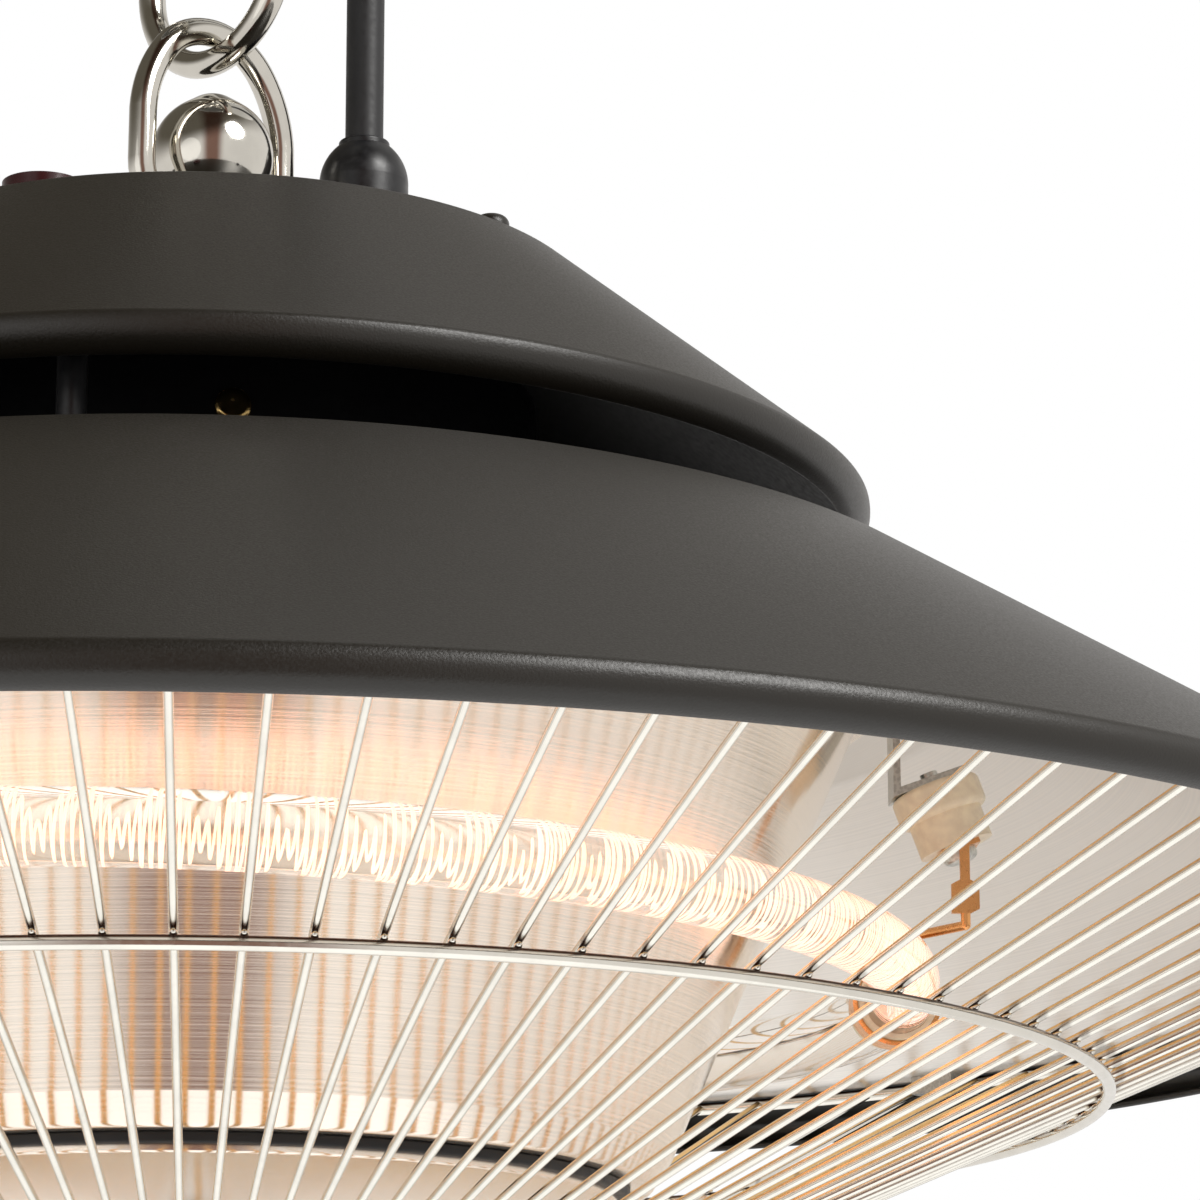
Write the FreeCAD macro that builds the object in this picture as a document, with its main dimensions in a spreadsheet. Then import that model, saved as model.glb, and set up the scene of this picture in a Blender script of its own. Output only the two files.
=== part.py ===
import FreeCAD, Part
import math
import os
import Sketcher

# Hanging patio heater with a ring-shaped quartz lamp, hung by a short chain from a ceiling plate.
# Heights in the sheet are measured from the lower edge of the shade's rim. The finished pieces are
# lowered so that the origin lies on the ceiling, at the centre of the ceiling plate.

doc = FreeCAD.newDocument("hanging_patio_heater")
sheet = doc.addObject("Spreadsheet::Sheet", "Sizes")
Vector = FreeCAD.Vector
Z_AXIS = Vector(0, 0, 1)

SIZES = [
    ("plate_radius", 45, "ceiling plate"),
    ("plate_thickness", 4, ""),
    ("plate_hole_circle", 35, "radius of the circle of screw holes"),
    ("plate_hole_radius", 2.6, ""),
    ("plate_hole_turn", 88, "direction of the first screw hole, degrees"),
    ("hook_wire", 5, "ceiling hook, wire diameter"),
    ("hook_bowl_radius", 10, "to the middle of the wire"),
    ("hook_bend_radius", 6, ""),
    ("hook_neck", 21, "straight length below the plate"),
    ("hook_tip_angle", 35, "where the bowl ends, degrees above level"),
    ("hook_nut_flats", 9, ""),
    ("hook_nut_height", 4, ""),
    ("bush_radius", 6, "rubber bush in the ceiling plate"),
    ("bush_flange", 2, ""),
    ("chain_turn", 40, "direction of the hanging ring, degrees"),
    ("chain_wire", 4.7, "wire of the links and the ring"),
    ("chain_gap", 0.3, "between wires that hang on each other"),
    ("link_radius", 17, "to the middle of the wire"),
    ("link_straight", 9, ""),
    ("ring_half_width", 15.3, "to the middle of the wire"),
    ("ring_corner_radius", 8.5, ""),
    ("ring_side_height", 16, "where the sides start to lean in, above the bar"),
    ("ring_top_radius", 13.5, ""),
    ("ring_height", 34.9, "from the bar to the top of the ring"),
    ("bar_rise", 12.47, "the ring's bar in the stud's cross hole, above the cap"),
    ("bar_gap", 0.15, "round the bar in its hole"),
    ("stud_head_radius", 9.3, "acorn-shaped head"),
    ("stud_head_top", 36.27, "above the cap"),
    ("stud_head_height", 18.4, ""),
    ("stud_head_slope", 0.643, "rise over run of its crown"),
    ("stud_head_edge", 4.5, "rounding under its crown"),
    ("stud_head_foot", 6, "rounding of its lower edge"),
    ("stud_tip_radius", 6.2, "its round tip"),
    ("stud_neck_radius", 6, ""),
    ("stud_flange_radius", 9, ""),
    ("stud_flange_height", 2, ""),
    ("stud_shank_radius", 4, ""),
    ("stud_shank_reach", 12, "below the top of the wiring box"),
    ("nut_flats", 13, "nuts on the stud"),
    ("nut_height", 6.5, ""),
    ("washer_thickness", 1.6, ""),
    ("fit_gap", 0.05, "round shanks in their holes"),
    ("cap_radius", 110.1, "upper shade, at the crease of its rim"),
    ("cap_gap", 19.9, "from the lower shade's top up to that crease"),
    ("cap_rise", 38.03, "from the crease up to its flat top"),
    ("cap_slope", 0.81, "rise over run of its cone"),
    ("cap_shoulder_radius", 2.6, ""),
    ("cap_wall", 1.2, ""),
    ("cap_bead_in", 4.2, "from the crease in to the middle of the rolled rim"),
    ("cap_bead_down", 1.2, ""),
    ("cap_screw_inset", 3.43, "from the start of its shoulder in to its screws"),
    ("cap_screw_turn", -40, "direction of its screws, degrees"),
    ("cap_screw_radius", 1.5, ""),
    ("cap_screw_head", 2.9, ""),
    ("cap_screw_rise", 2.7, ""),
    ("bridge_half_width", 4.5, "strap under the cap"),
    ("bridge_boss_radius", 12, ""),
    ("bridge_thickness", 1.5, ""),
    ("bridge_reach", 2.8, "past the cap's screws"),
    ("lens_x", -26.5, "indicator lens on the cap"),
    ("lens_y", -47, ""),
    ("lens_radius", 6.5, ""),
    ("lens_depth", 5, ""),
    ("lens_side", 4, ""),
    ("lens_rise", 0.9, ""),
    ("gland_x", 26.2, "strain relief of the mains cord"),
    ("gland_y", 14, ""),
    ("gland_thread_radius", 6, ""),
    ("gland_thread_length", 9, ""),
    ("gland_flange_radius", 8.6, ""),
    ("gland_flange_height", 4, ""),
    ("gland_barrel_radius", 6.2, ""),
    ("gland_barrel_height", 22.5, "above the cap"),
    ("gland_nut_radius", 7.7, ""),
    ("gland_nut_side", 26, "height of its straight side above the cap"),
    ("gland_dome_top", 32.45, "above the cap"),
    ("gland_nut_mouth", 4.75, "radius of its top"),
    ("gland_collar_radius", 4.4, ""),
    ("gland_collar_height", 1.2, ""),
    ("gland_collar_edge", 0.4, ""),
    ("gland_dome_radius", 9, ""),
    ("locknut_flats", 14, ""),
    ("locknut_height", 3, ""),
    ("cord_radius", 3.3, "mains cord"),
    ("cord_gap", 0.15, "round the cord in the gland"),
    ("rim_radius", 212.5, "lower shade, at the crease of its rim"),
    ("dome_top_radius", 124.5, ""),
    ("dome_top_height", 60.1, ""),
    ("dome_edge_radius", 1.5, ""),
    ("dome_wall", 1.2, ""),
    ("dome_bead_in", 3.1, "from the crease in to the middle of the rolled rim"),
    ("dome_bead_down", 2.14, ""),
    ("dome_hole_radius", 20, ""),
    ("post_inset", 15.1, "posts that carry the cap's cone, from its crease in"),
    ("post_radius", 2.3, ""),
    ("post_turn", -102, "direction of the first post, degrees"),
    ("housing_radius", 54, "wiring box"),
    ("housing_wall", 1, ""),
    ("housing_height", 26.5, "of its base"),
    ("housing_flange", 12, "width of its flange"),
    ("housing_lid_height", 39.9, "top of its lid above the lower shade"),
    ("housing_skirt_height", 15.4, "lower edge of its lid above the lower shade"),
    ("housing_screw_turn", -85.9, "direction of the first screw, degrees"),
    ("housing_screw_rise", 22.3, "above the lower shade"),
    ("housing_screw_offset", 6, "from its wall out to the screws in the flange"),
    ("small_screw_radius", 1.5, ""),
    ("small_screw_head", 2.9, ""),
    ("small_screw_rise", 1.7, ""),
    ("small_screw_length", 6, ""),
    ("block_length", 34, "terminal block"),
    ("block_width", 16, ""),
    ("block_height", 14, ""),
    ("block_offset", 32, ""),
    ("flange_inset", 9.1, "outer reflector, from the shade's crease in to its edge"),
    ("dish_flange_width", 7.9, ""),
    ("dish_flange_height", 9, ""),
    ("dish_roof_band", 15, "flat roof outside the central reflector's flange"),
    ("dish_roof_height", 49, ""),
    ("dish_hole_inset", 13.4, "from the central reflector's top in to the roof's hole"),
    ("dish_bend_radius", 6, ""),
    ("dish_wall", 0.8, ""),
    ("cone_bottom_radius", 76.9, "central reflector"),
    ("cone_bottom_height", -27.3, ""),
    ("cone_slope", 0.43, "run over rise"),
    ("cone_flange_width", 3.6, ""),
    ("cone_lip_inset", 7.6, "from its bottom radius in to its lip"),
    ("cone_lip_drop", 4.9, "from its bottom height down to its lip"),
    ("cone_ledge", 3.3, "how far its lower edge slopes in"),
    ("cone_bend_radius", 1.5, ""),
    ("cone_wall", 0.8, ""),
    ("spacer_offset", 6, "stand-offs above the reflectors, out from the roof's hole"),
    ("spacer_radius", 5, ""),
    ("gasket_inset", 6.7, "black ring round the bottom cover, from the reflector's bottom radius in"),
    ("gasket_width", 8.2, ""),
    ("gasket_height", 1.75, ""),
    ("cover_inset", 8.5, "from the reflector's bottom radius in"),
    ("cover_thickness", 1.2, ""),
    ("bar_width", 12, "bar that the cover is screwed to"),
    ("bar_thickness", 1.5, ""),
    ("bar_inset", 5.4, "from the reflector's bottom radius in"),
    ("cover_screw_radius", 2, ""),
    ("cover_screw_head", 4, ""),
    ("cover_screw_rise", 1.8, ""),
    ("cover_screw_length", 9, ""),
    ("lamp_distance", 24.5, "ring-shaped quartz lamp, its middle from the central reflector"),
    ("lamp_height", 3.2, ""),
    ("lamp_tube_radius", 5.6, ""),
    ("lamp_tube_wall", 0.9, ""),
    ("lamp_gap", 54, "open part of the ring, degrees"),
    ("lamp_gap_turn", 30, "direction of the middle of the gap, degrees"),
    ("lamp_tilt", 1.6, "how far its right side hangs down, degrees"),
    ("lamp_cap_radius", 6.5, ""),
    ("lamp_cap_cover", 4, "length over the tube, degrees"),
    ("lamp_cap_end", 1.5, "length past the tube, degrees"),
    ("lamp_lead_radius", 0.8, ""),
    ("filament_wire", 0.9, "heating coil"),
    ("filament_radius", 3.1, "to the middle of the wire"),
    ("filament_curls", 60, "number of curls"),
    ("filament_tail", 3, "straight ends of the coil"),
    ("holder_offset", 9.5, "ceramic lamp holder, outside the central reflector's flange"),
    ("holder_turn", 5, "back along the ring from the lamp's end, degrees"),
    ("holder_drop", 19, "its middle below the reflector's roof"),
    ("holder_lean", 20, "degrees"),
    ("holder_half_height", 5.4, ""),
    ("holder_collar_radius", 7.5, ""),
    ("holder_radius", 6.2, "below the collar"),
    ("holder_edge", 1.2, "rounding of the collar"),
    ("bracket_wall", 1.2, "bracket of the holder"),
    ("bracket_width", 8, ""),
    ("bracket_length", 11, "along the roof"),
    ("bracket_foot", 6, "out from the middle of the holder"),
    ("bracket_clear", 0.6, "to the central reflector's flange"),
    ("clip_wall", 0.8, "copper clip under the holder"),
    ("clip_tab_length", 6.6, ""),
    ("clip_tab_width", 8, ""),
    ("clip_stem_width", 1.6, ""),
    ("clip_stem_length", 6, ""),
    ("clip_plate_width", 4.6, ""),
    ("clip_plate_height", 5.6, ""),
    ("clip_offset", 0.7, "of the stem, out from the foot of the holder"),
    ("lead_drop", 2, "of the lead below the clip"),
    ("band_cover", 2.4, "copper band on the lamp's end cap, degrees"),
    ("guard_wire", 1.36, "wire guard"),
    ("guard_count", 100, "number of wires"),
    ("guard_turn", -91.2, "direction of the first wire, degrees"),
    ("guard_slope", 0.43, "rise over run"),
    ("guard_band", 57.4, "from the outer ring in to the lower ring"),
    ("guard_drop", 26.1, "from the outer ring down to the lower ring"),
    ("guard_ring_wire", 2.1, ""),
    ("guard_overhang", 0.4, "of the outer ring past the outer reflector's flange"),
    ("guard_outer_wire", 2.5, ""),
    ("guard_gap", 0.03, "between wires that are welded"),
    ("guard_seat_gap", 0.05, "between the outer ring and the flange"),
    ("guard_end_radius", 24, "inner ends of the wires"),
    ("hub_radius", 31, ""),
    ("hub_thickness", 1.5, ""),
    ("guard_clip_angle", 2.8, "width of a clip, degrees"),
    ("guard_clip_length", 7.3, "in from the outer ring"),
    ("guard_clip_reach", 1.2, "past the middle of the outer ring"),
    ("guard_clip_wall", 0.8, ""),
    ("guard_clip_inset", 4.8, "from the outer ring in to the clip's screw"),
]


class Size:
    """A length with its value and the formula that ties it to the sheet."""

    def __init__(self, value, text):
        self.value = value
        self.text = text

    def __add__(self, other):
        return joined(self, other, "+", self.value + known(other).value)

    def __radd__(self, other):
        return known(other) + self

    def __sub__(self, other):
        return joined(self, other, "-", self.value - known(other).value)

    def __rsub__(self, other):
        return known(other) - self

    def __mul__(self, other):
        return joined(self, other, "*", self.value * known(other).value)

    def __rmul__(self, other):
        return known(other) * self

    def __truediv__(self, other):
        return joined(self, other, "/", self.value / known(other).value)

    def __rtruediv__(self, other):
        return known(other) / self

    def __neg__(self):
        return Size(-self.value, "(0 - " + self.text + ")")


def known(other):
    return other if isinstance(other, Size) else Size(float(other), repr(float(other)))


def joined(a, b, sign, value):
    return Size(value, "(" + a.text + " " + sign + " " + known(b).text + ")")


def root(size):
    return Size(math.sqrt(size.value), "sqrt(" + size.text + ")")


class Sheet:
    """The sizes, by their names."""


d = Sheet()
for row, (alias, value, note) in enumerate(SIZES, start=1):
    sheet.set("A%d" % row, alias.replace("_", " "))
    sheet.set("B%d" % row, str(value))
    sheet.set("C%d" % row, note)
    sheet.setAlias("B%d" % row, alias)
    setattr(d, alias, Size(float(value), "Sizes." + alias))
doc.recompute()
ZERO = known(0)

# Heights of the upper shade, the stud and the wiring box follow the lower shade's top.
d.cap_crease_height = d.dome_top_height + d.cap_gap
d.cap_top = d.cap_crease_height + d.cap_rise
d.bar_height = d.cap_top + d.bar_rise
d.housing_top = d.dome_top_height + d.housing_lid_height
d.housing_skirt = d.dome_top_height + d.housing_skirt_height
d.housing_screw_height = d.dome_top_height + d.housing_screw_rise
d.stud_shank_bottom = d.housing_top - d.stud_shank_reach
d.housing_flange_radius = d.housing_radius + d.housing_flange
d.housing_screw_circle = d.housing_radius + d.housing_screw_offset
d.post_circle = d.cap_radius - d.post_inset


def cone_at(height):
    """Radius of the central reflector's bright face."""
    return d.cone_bottom_radius + d.cone_slope * (height - d.cone_bottom_height)


# The outer reflector, the lamp and the guard follow the shade's rim and the central reflector.
cone_top = d.dish_roof_height - d.cone_wall
cone_edge = cone_at(cone_top) + d.cone_flange_width
d.cone_lip_radius = d.cone_bottom_radius - d.cone_lip_inset
d.cone_lip_height = d.cone_bottom_height - d.cone_lip_drop
d.gasket_outer = d.cone_bottom_radius - d.gasket_inset
d.gasket_inner = d.gasket_outer - d.gasket_width
d.cover_radius = d.cone_bottom_radius - d.cover_inset
d.bar_half_length = d.cone_bottom_radius - d.bar_inset
d.dish_flange_radius = d.rim_radius - d.flange_inset
d.dish_roof_radius = cone_edge + d.dish_roof_band
d.dish_hole_radius = cone_at(cone_top) - d.dish_hole_inset
d.spacer_circle = d.dish_hole_radius + d.spacer_offset
d.lamp_radius = cone_at(d.lamp_height) + d.lamp_distance
holder_circle = cone_edge + d.holder_offset
d.guard_outer_radius = d.dish_flange_radius + d.guard_overhang
d.guard_ring_radius = d.guard_outer_radius - d.guard_band
d.guard_clip_inner = d.guard_outer_radius - d.guard_clip_length
d.guard_clip_screw = d.guard_outer_radius - d.guard_clip_inset
outer_ring_height = d.dish_flange_height - d.guard_outer_wire / 2 - d.guard_seat_gap
d.guard_ring_height = outer_ring_height - d.guard_drop

# Heights along the chain, above the rim.
link_length = 2 * d.link_radius + d.link_straight
wire_step = d.chain_wire + d.chain_gap
ring_top = d.bar_height + d.ring_height
lower_link_bottom = ring_top - wire_step
upper_link_bottom = lower_link_bottom + link_length - wire_step
upper_link_top = upper_link_bottom + link_length
bowl_bottom = upper_link_top - d.chain_gap - (d.chain_wire + d.hook_wire) / 2
bowl_centre = bowl_bottom + d.hook_bowl_radius
bend_rise = root(2 * d.hook_bend_radius * d.hook_bowl_radius + d.hook_bowl_radius * d.hook_bowl_radius)
plate_bottom = bowl_centre + bend_rise + d.hook_neck
hang = plate_bottom + d.plate_thickness

made = []


def lower(piece, x=ZERO, y=ZERO, z=ZERO, turn=0.0, tilt=0.0):
    """Puts a piece drawn about the rim into the part's frame, whose origin is at the ceiling."""
    spin = FreeCAD.Rotation(Z_AXIS, turn)
    lean = FreeCAD.Rotation(Vector(0, 1, 0), tilt)
    place = z - hang
    piece.Placement = FreeCAD.Placement(Vector(x.value, y.value, place.value), lean.multiply(spin))
    piece.setExpression(".Placement.Base.x", x.text)
    piece.setExpression(".Placement.Base.y", y.text)
    piece.setExpression(".Placement.Base.z", place.text)
    made.append(piece)
    return piece


def attach(sketch, body, role):
    plane = [f for f in body.Origin.OriginFeatures if f.Role == role][0]
    sketch.AttachmentSupport = [(plane, "")]
    sketch.MapMode = "FlatFace"


def bind(sketch, constraints):
    """Adds the constraints and ties those with a Size to the sheet."""
    for kind, places, size in constraints:
        if size is None:
            sketch.addConstraint(Sketcher.Constraint(kind, *places))
            continue
        index = sketch.addConstraint(Sketcher.Constraint(kind, *places, size.value))
        sketch.setExpression("Constraints[%d]" % index, size.text)


def fixed(geometry, position, across, up):
    """Constraints that hold one point at (across, up)."""
    out = []
    for kind, axis, size in (("DistanceX", -2, across), ("DistanceY", -1, up)):
        if size.text == "0.0":
            out.append(("PointOnObject", (geometry, position, axis), None))
        else:
            out.append((kind, (geometry, position), size))
    return out


def arc_through(start, end, radius, side):
    """The short arc from start to end, and whether it runs clockwise.

    It bulges to the right of the way there for side 1, and to the left for side -1.
    """
    chord = end - start
    half = chord.Length / 2
    right = Vector(chord.y, -chord.x, 0).normalize()
    centre = start + chord * 0.5 - right * side * math.sqrt(max(radius**2 - half**2, 0))
    a = math.atan2(start.y - centre.y, start.x - centre.x)
    b = math.atan2(end.y - centre.y, end.x - centre.x)
    circle = Part.Circle(centre, Z_AXIS, radius)
    if side > 0:
        return Part.ArcOfCircle(circle, a, b if b > a else b + 2 * math.pi), False
    return Part.ArcOfCircle(circle, b, a if a > b else a + 2 * math.pi), True


def outline(sketch, corners, closed=True):
    """Draws an outline through corners.

    A corner is (across, up), (across, up, "round", radius) or (across, up, "bulge", radius, side),
    and a bulge is the edge from that corner to the next.
    """
    spots = [Vector(c[0].value, c[1].value, 0) for c in corners]
    count = len(corners)
    arrive, leave = list(spots), list(spots)
    for i, corner in enumerate(corners):
        if len(corner) == 4:
            back = (spots[i - 1] - spots[i]).normalize()
            on = (spots[(i + 1) % count] - spots[i]).normalize()
            reach = corner[3].value / math.tan(back.getAngle(on) / 2)
            arrive[i], leave[i] = spots[i] + back * reach, spots[i] + on * reach
    edges, rules = [], []
    for i in range(count if closed else count - 1):
        nxt = (i + 1) % count
        if len(corners[i]) == 5:
            shape, back = arc_through(leave[i], arrive[nxt], corners[i][3].value, corners[i][4])
        else:
            shape, back = Part.LineSegment(leave[i], arrive[nxt]), False
        index = sketch.addGeometry(shape, False)
        edges.append((index, 2 if back else 1, 1 if back else 2))
        if len(corners[i]) == 5:
            rules.append(("Radius", (index,), corners[i][3]))
    for i, corner in enumerate(corners):
        if not closed and i in (0, count - 1):
            index, first, last = edges[0] if i == 0 else edges[-1]
            rules += fixed(index, first if i == 0 else last, corner[0], corner[1])
            continue
        before, after = edges[i - 1], edges[i]
        if len(corner) != 4:
            rules.append(("Coincident", (before[0], before[2], after[0], after[1]), None))
            rules += fixed(after[0], after[1], corner[0], corner[1])
            continue
        turn = (spots[i] - arrive[i]).cross(leave[i] - spots[i]).z
        shape, back = arc_through(arrive[i], leave[i], corner[3].value, 1 if turn > 0 else -1)
        index = sketch.addGeometry(shape, False)
        first, last = (2, 1) if back else (1, 2)
        point = sketch.addGeometry(Part.Point(spots[i]), True)
        rules += fixed(point, 1, corner[0], corner[1])
        rules.append(("PointOnObject", (point, 1, before[0]), None))
        rules.append(("PointOnObject", (point, 1, after[0]), None))
        rules.append(("Tangent", (before[0], before[2], index, first), None))
        rules.append(("Tangent", (index, last, after[0], after[1]), None))
        rules.append(("Radius", (index,), corner[3]))
    bind(sketch, rules)


def circles(sketch, holes):
    """Circles of (across, up, radius)."""
    for across, up, radius in holes:
        centre = Vector(across.value, up.value, 0)
        index = sketch.addGeometry(Part.Circle(centre, Z_AXIS, radius.value), False)
        bind(sketch, fixed(index, 3, across, up) + [("Radius", (index,), radius)])


def new_sketch(body, name, role):
    sketch = body.newObject("Sketcher::SketchObject", name)
    attach(sketch, body, role)
    return sketch


def turned(label, corners):
    """A body turned about its upright axis from a closed outline."""
    body = doc.addObject("PartDesign::Body", label)
    sketch = new_sketch(body, label + "_outline", "XZ_Plane")
    outline(sketch, corners)
    turn = body.newObject("PartDesign::Revolution", label + "_turn")
    turn.Profile = sketch
    turn.ReferenceAxis = (sketch, ["V_Axis"])
    turn.Angle = 360
    doc.recompute()
    return body


def drill(body, holes, role="XY_Plane"):
    """Round holes of (across, up, radius) right through a body."""
    before = body.Shape.Volume
    sketch = new_sketch(body, body.Name + "_holes", role)
    circles(sketch, holes)
    pocket = body.newObject("PartDesign::Pocket", body.Name + "_drilled")
    pocket.Profile = sketch
    pocket.Type = "ThroughAll"
    pocket.SideType = "Symmetric"
    doc.recompute()
    if not body.Shape.Volume < before:
        raise RuntimeError(body.Label + ": its holes cut nothing")
    return body


def around(radius, turn, count):
    """Places of (across, up) on a circle, evenly spaced, the first in the direction turn."""
    out = []
    for k in range(count):
        angle = math.radians(turn + 360.0 / count * k)
        out.append((radius * math.cos(angle), radius * math.sin(angle)))
    return out


def group(label, shapes, z=ZERO, tilt=0.0):
    """Several like solids in one piece."""
    piece = doc.addObject("Part::Feature", label)
    piece.Shape = shapes[0] if len(shapes) == 1 else Part.makeCompound(shapes)
    return lower(piece, z=z, tilt=tilt)


def cylinder(radius, start, end):
    """A round bar from one point to another."""
    return Part.makeCylinder(radius, (end - start).Length, start, end - start)


def screw(place, out, head, rise, shank, length):
    """A pan-head screw. Its head stands on place and points out, and its shank runs in from there."""
    bar = cylinder(shank, place - out * length, place)
    dome = cylinder(head, place, place + out * rise)
    edge = [e for e in dome.Edges if len(e.Vertexes) == 1 and (e.Curve.Center - place).dot(out) > rise / 2]
    return bar.fuse(dome.makeFillet(rise * 0.6, edge)).removeSplitter()


def hexagon_nut(label, flats, bore, bottom, height, x=ZERO, y=ZERO):
    prism = doc.addObject("Part::Prism", label + "_prism")
    prism.Polygon = 6
    prism.setExpression("Circumradius", (flats / math.sqrt(3)).text)
    prism.setExpression("Height", height.text)
    hole = doc.addObject("Part::Cylinder", label + "_bore")
    hole.setExpression("Radius", bore.text)
    hole.setExpression("Height", height.text)
    nut = doc.addObject("Part::Cut", label)
    nut.Base = prism
    nut.Tool = hole
    return lower(nut, x=x, y=y, z=bottom)


def bent_wire(label, corners, wire, start_up, mirrored):
    """A wire bent in an upright plane. The bend starts level, over the axis, at the height start_up."""
    body = doc.addObject("PartDesign::Body", label)
    path = new_sketch(body, label + "_path", "XZ_Plane")
    outline(path, corners, closed=False)
    section = new_sketch(body, label + "_section", "YZ_Plane")
    circles(section, [(ZERO, start_up, wire / 2)])
    pipe = body.newObject("PartDesign::AdditivePipe", label + "_bent")
    pipe.Profile = section
    pipe.Spine = path
    doc.recompute()
    if mirrored:
        other = body.newObject("PartDesign::Mirrored", label + "_whole")
        other.Originals = [pipe]
        plane = [f for f in body.Origin.OriginFeatures if f.Role == "YZ_Plane"][0]
        other.MirrorPlane = (plane, [""])
        body.Tip = other
        doc.recompute()
    return body


def ceiling_pieces():
    plate = turned(
        "ceiling_plate",
        [
            (d.hook_wire / 2 + d.fit_gap, plate_bottom),
            (d.plate_radius, plate_bottom, "round", d.plate_thickness / 2),
            (d.plate_radius, hang),
            (d.hook_wire / 2 + d.fit_gap, hang),
        ],
    )
    holes = []
    for across, up in around(d.plate_hole_circle, d.plate_hole_turn.value, 3):
        holes.append((across, up, d.plate_hole_radius))
    holes.append((d.gland_x, d.gland_y, d.bush_radius))
    lower(drill(plate, holes))
    wire = d.hook_wire.value / 2
    bowl, bend = d.hook_bowl_radius.value, d.hook_bend_radius.value
    centre = Vector(0, 0, bowl_centre.value)
    top = Vector(0, 0, bowl_centre.value + bend_rise.value)
    meet = centre + Vector(-bend, 0, bend_rise.value) * (bowl / (bend + bowl))
    knee = top + Vector(-bend, 0, 0)
    middle = knee + ((top - knee) + (meet - knee)).normalize() * bend
    tip_angle = math.radians(d.hook_tip_angle.value)
    tip = centre + Vector(math.cos(tip_angle), 0, math.sin(tip_angle)) * bowl
    left = centre + Vector(-bowl, 0, 0)
    right = centre + Vector(bowl, 0, 0)
    foot = centre + Vector(0, 0, -bowl)
    rise = centre + (meet - centre + left - centre).normalize() * bowl
    run = centre + (tip - centre + right - centre).normalize() * bowl
    low_left = centre + Vector(-1, 0, -1).normalize() * bowl
    low_right = centre + Vector(1, 0, -1).normalize() * bowl
    path = Part.Wire(
        [
            Part.LineSegment(Vector(0, 0, hang.value), top).toShape(),
            Part.Arc(top, middle, meet).toShape(),
            Part.Arc(meet, rise, left).toShape(),
            Part.Arc(left, low_left, foot).toShape(),
            Part.Arc(foot, low_right, right).toShape(),
            Part.Arc(right, run, tip).toShape(),
        ]
    )
    section = Part.Wire([Part.Circle(Vector(0, 0, hang.value), Z_AXIS, wire).toShape()])
    hook = doc.addObject("Part::Feature", "ceiling_hook")
    hook.Shape = path.makePipeShell([section], True, False)
    lower(hook, turn=d.chain_turn.value - 90)
    nut_bottom = plate_bottom - d.hook_nut_height
    hexagon_nut("hook_nut", d.hook_nut_flats, d.hook_wire / 2 + d.fit_gap, nut_bottom, d.hook_nut_height)
    inner = d.cord_radius + 2 * d.cord_gap
    bush = turned(
        "cord_bush",
        [
            (inner, plate_bottom - d.bush_flange),
            (d.bush_radius + d.bush_flange, plate_bottom - d.bush_flange),
            (d.bush_radius + d.bush_flange, plate_bottom),
            (d.bush_radius - d.fit_gap, plate_bottom),
            (d.bush_radius - d.fit_gap, hang),
            (inner, hang),
        ],
    )
    lower(bush, x=d.gland_x, y=d.gland_y)


def chain_pieces():
    half = d.link_straight / 2
    turns = {"chain_link_upper": d.chain_turn.value, "chain_link_lower": d.chain_turn.value - 90}
    heights = {"chain_link_upper": upper_link_bottom, "chain_link_lower": lower_link_bottom}
    for label, bottom in heights.items():
        middle = bottom + d.link_radius + half
        corners = [
            (ZERO, bottom),
            (d.link_radius, bottom, "round", d.link_radius - d.fit_gap),
            (d.link_radius, middle + half + d.link_radius, "round", d.link_radius - d.fit_gap),
            (ZERO, middle + half + d.link_radius),
        ]
        lower(bent_wire(label, corners, d.chain_wire, bottom, True), turn=turns[label])
    lean = d.ring_height - d.ring_top_radius - d.ring_side_height
    side_radius = ring_side_radius(lean)
    share = (side_radius - d.ring_half_width) / (side_radius - d.ring_top_radius)
    meet_across = d.ring_top_radius * share
    meet_up = d.ring_height - d.ring_top_radius + d.ring_top_radius * (lean / (side_radius - d.ring_top_radius))
    corners = [
        (ZERO, d.bar_height),
        (d.ring_half_width, d.bar_height, "round", d.ring_corner_radius),
        (d.ring_half_width, d.bar_height + d.ring_side_height, "bulge", side_radius, 1),
        (meet_across, d.bar_height + meet_up, "bulge", d.ring_top_radius, 1),
        (ZERO, ring_top),
    ]
    ring = bent_wire("hanging_ring", corners, d.chain_wire, d.bar_height, True)
    lower(ring, turn=d.chain_turn.value)


def ring_side_radius(lean):
    """The radius of the ring's sides, which meet its straight part and its top without a kink."""
    top = d.ring_top_radius
    wide = d.ring_half_width
    return (wide * wide + lean * lean - top * top) / (2 * (wide - top))


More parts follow.
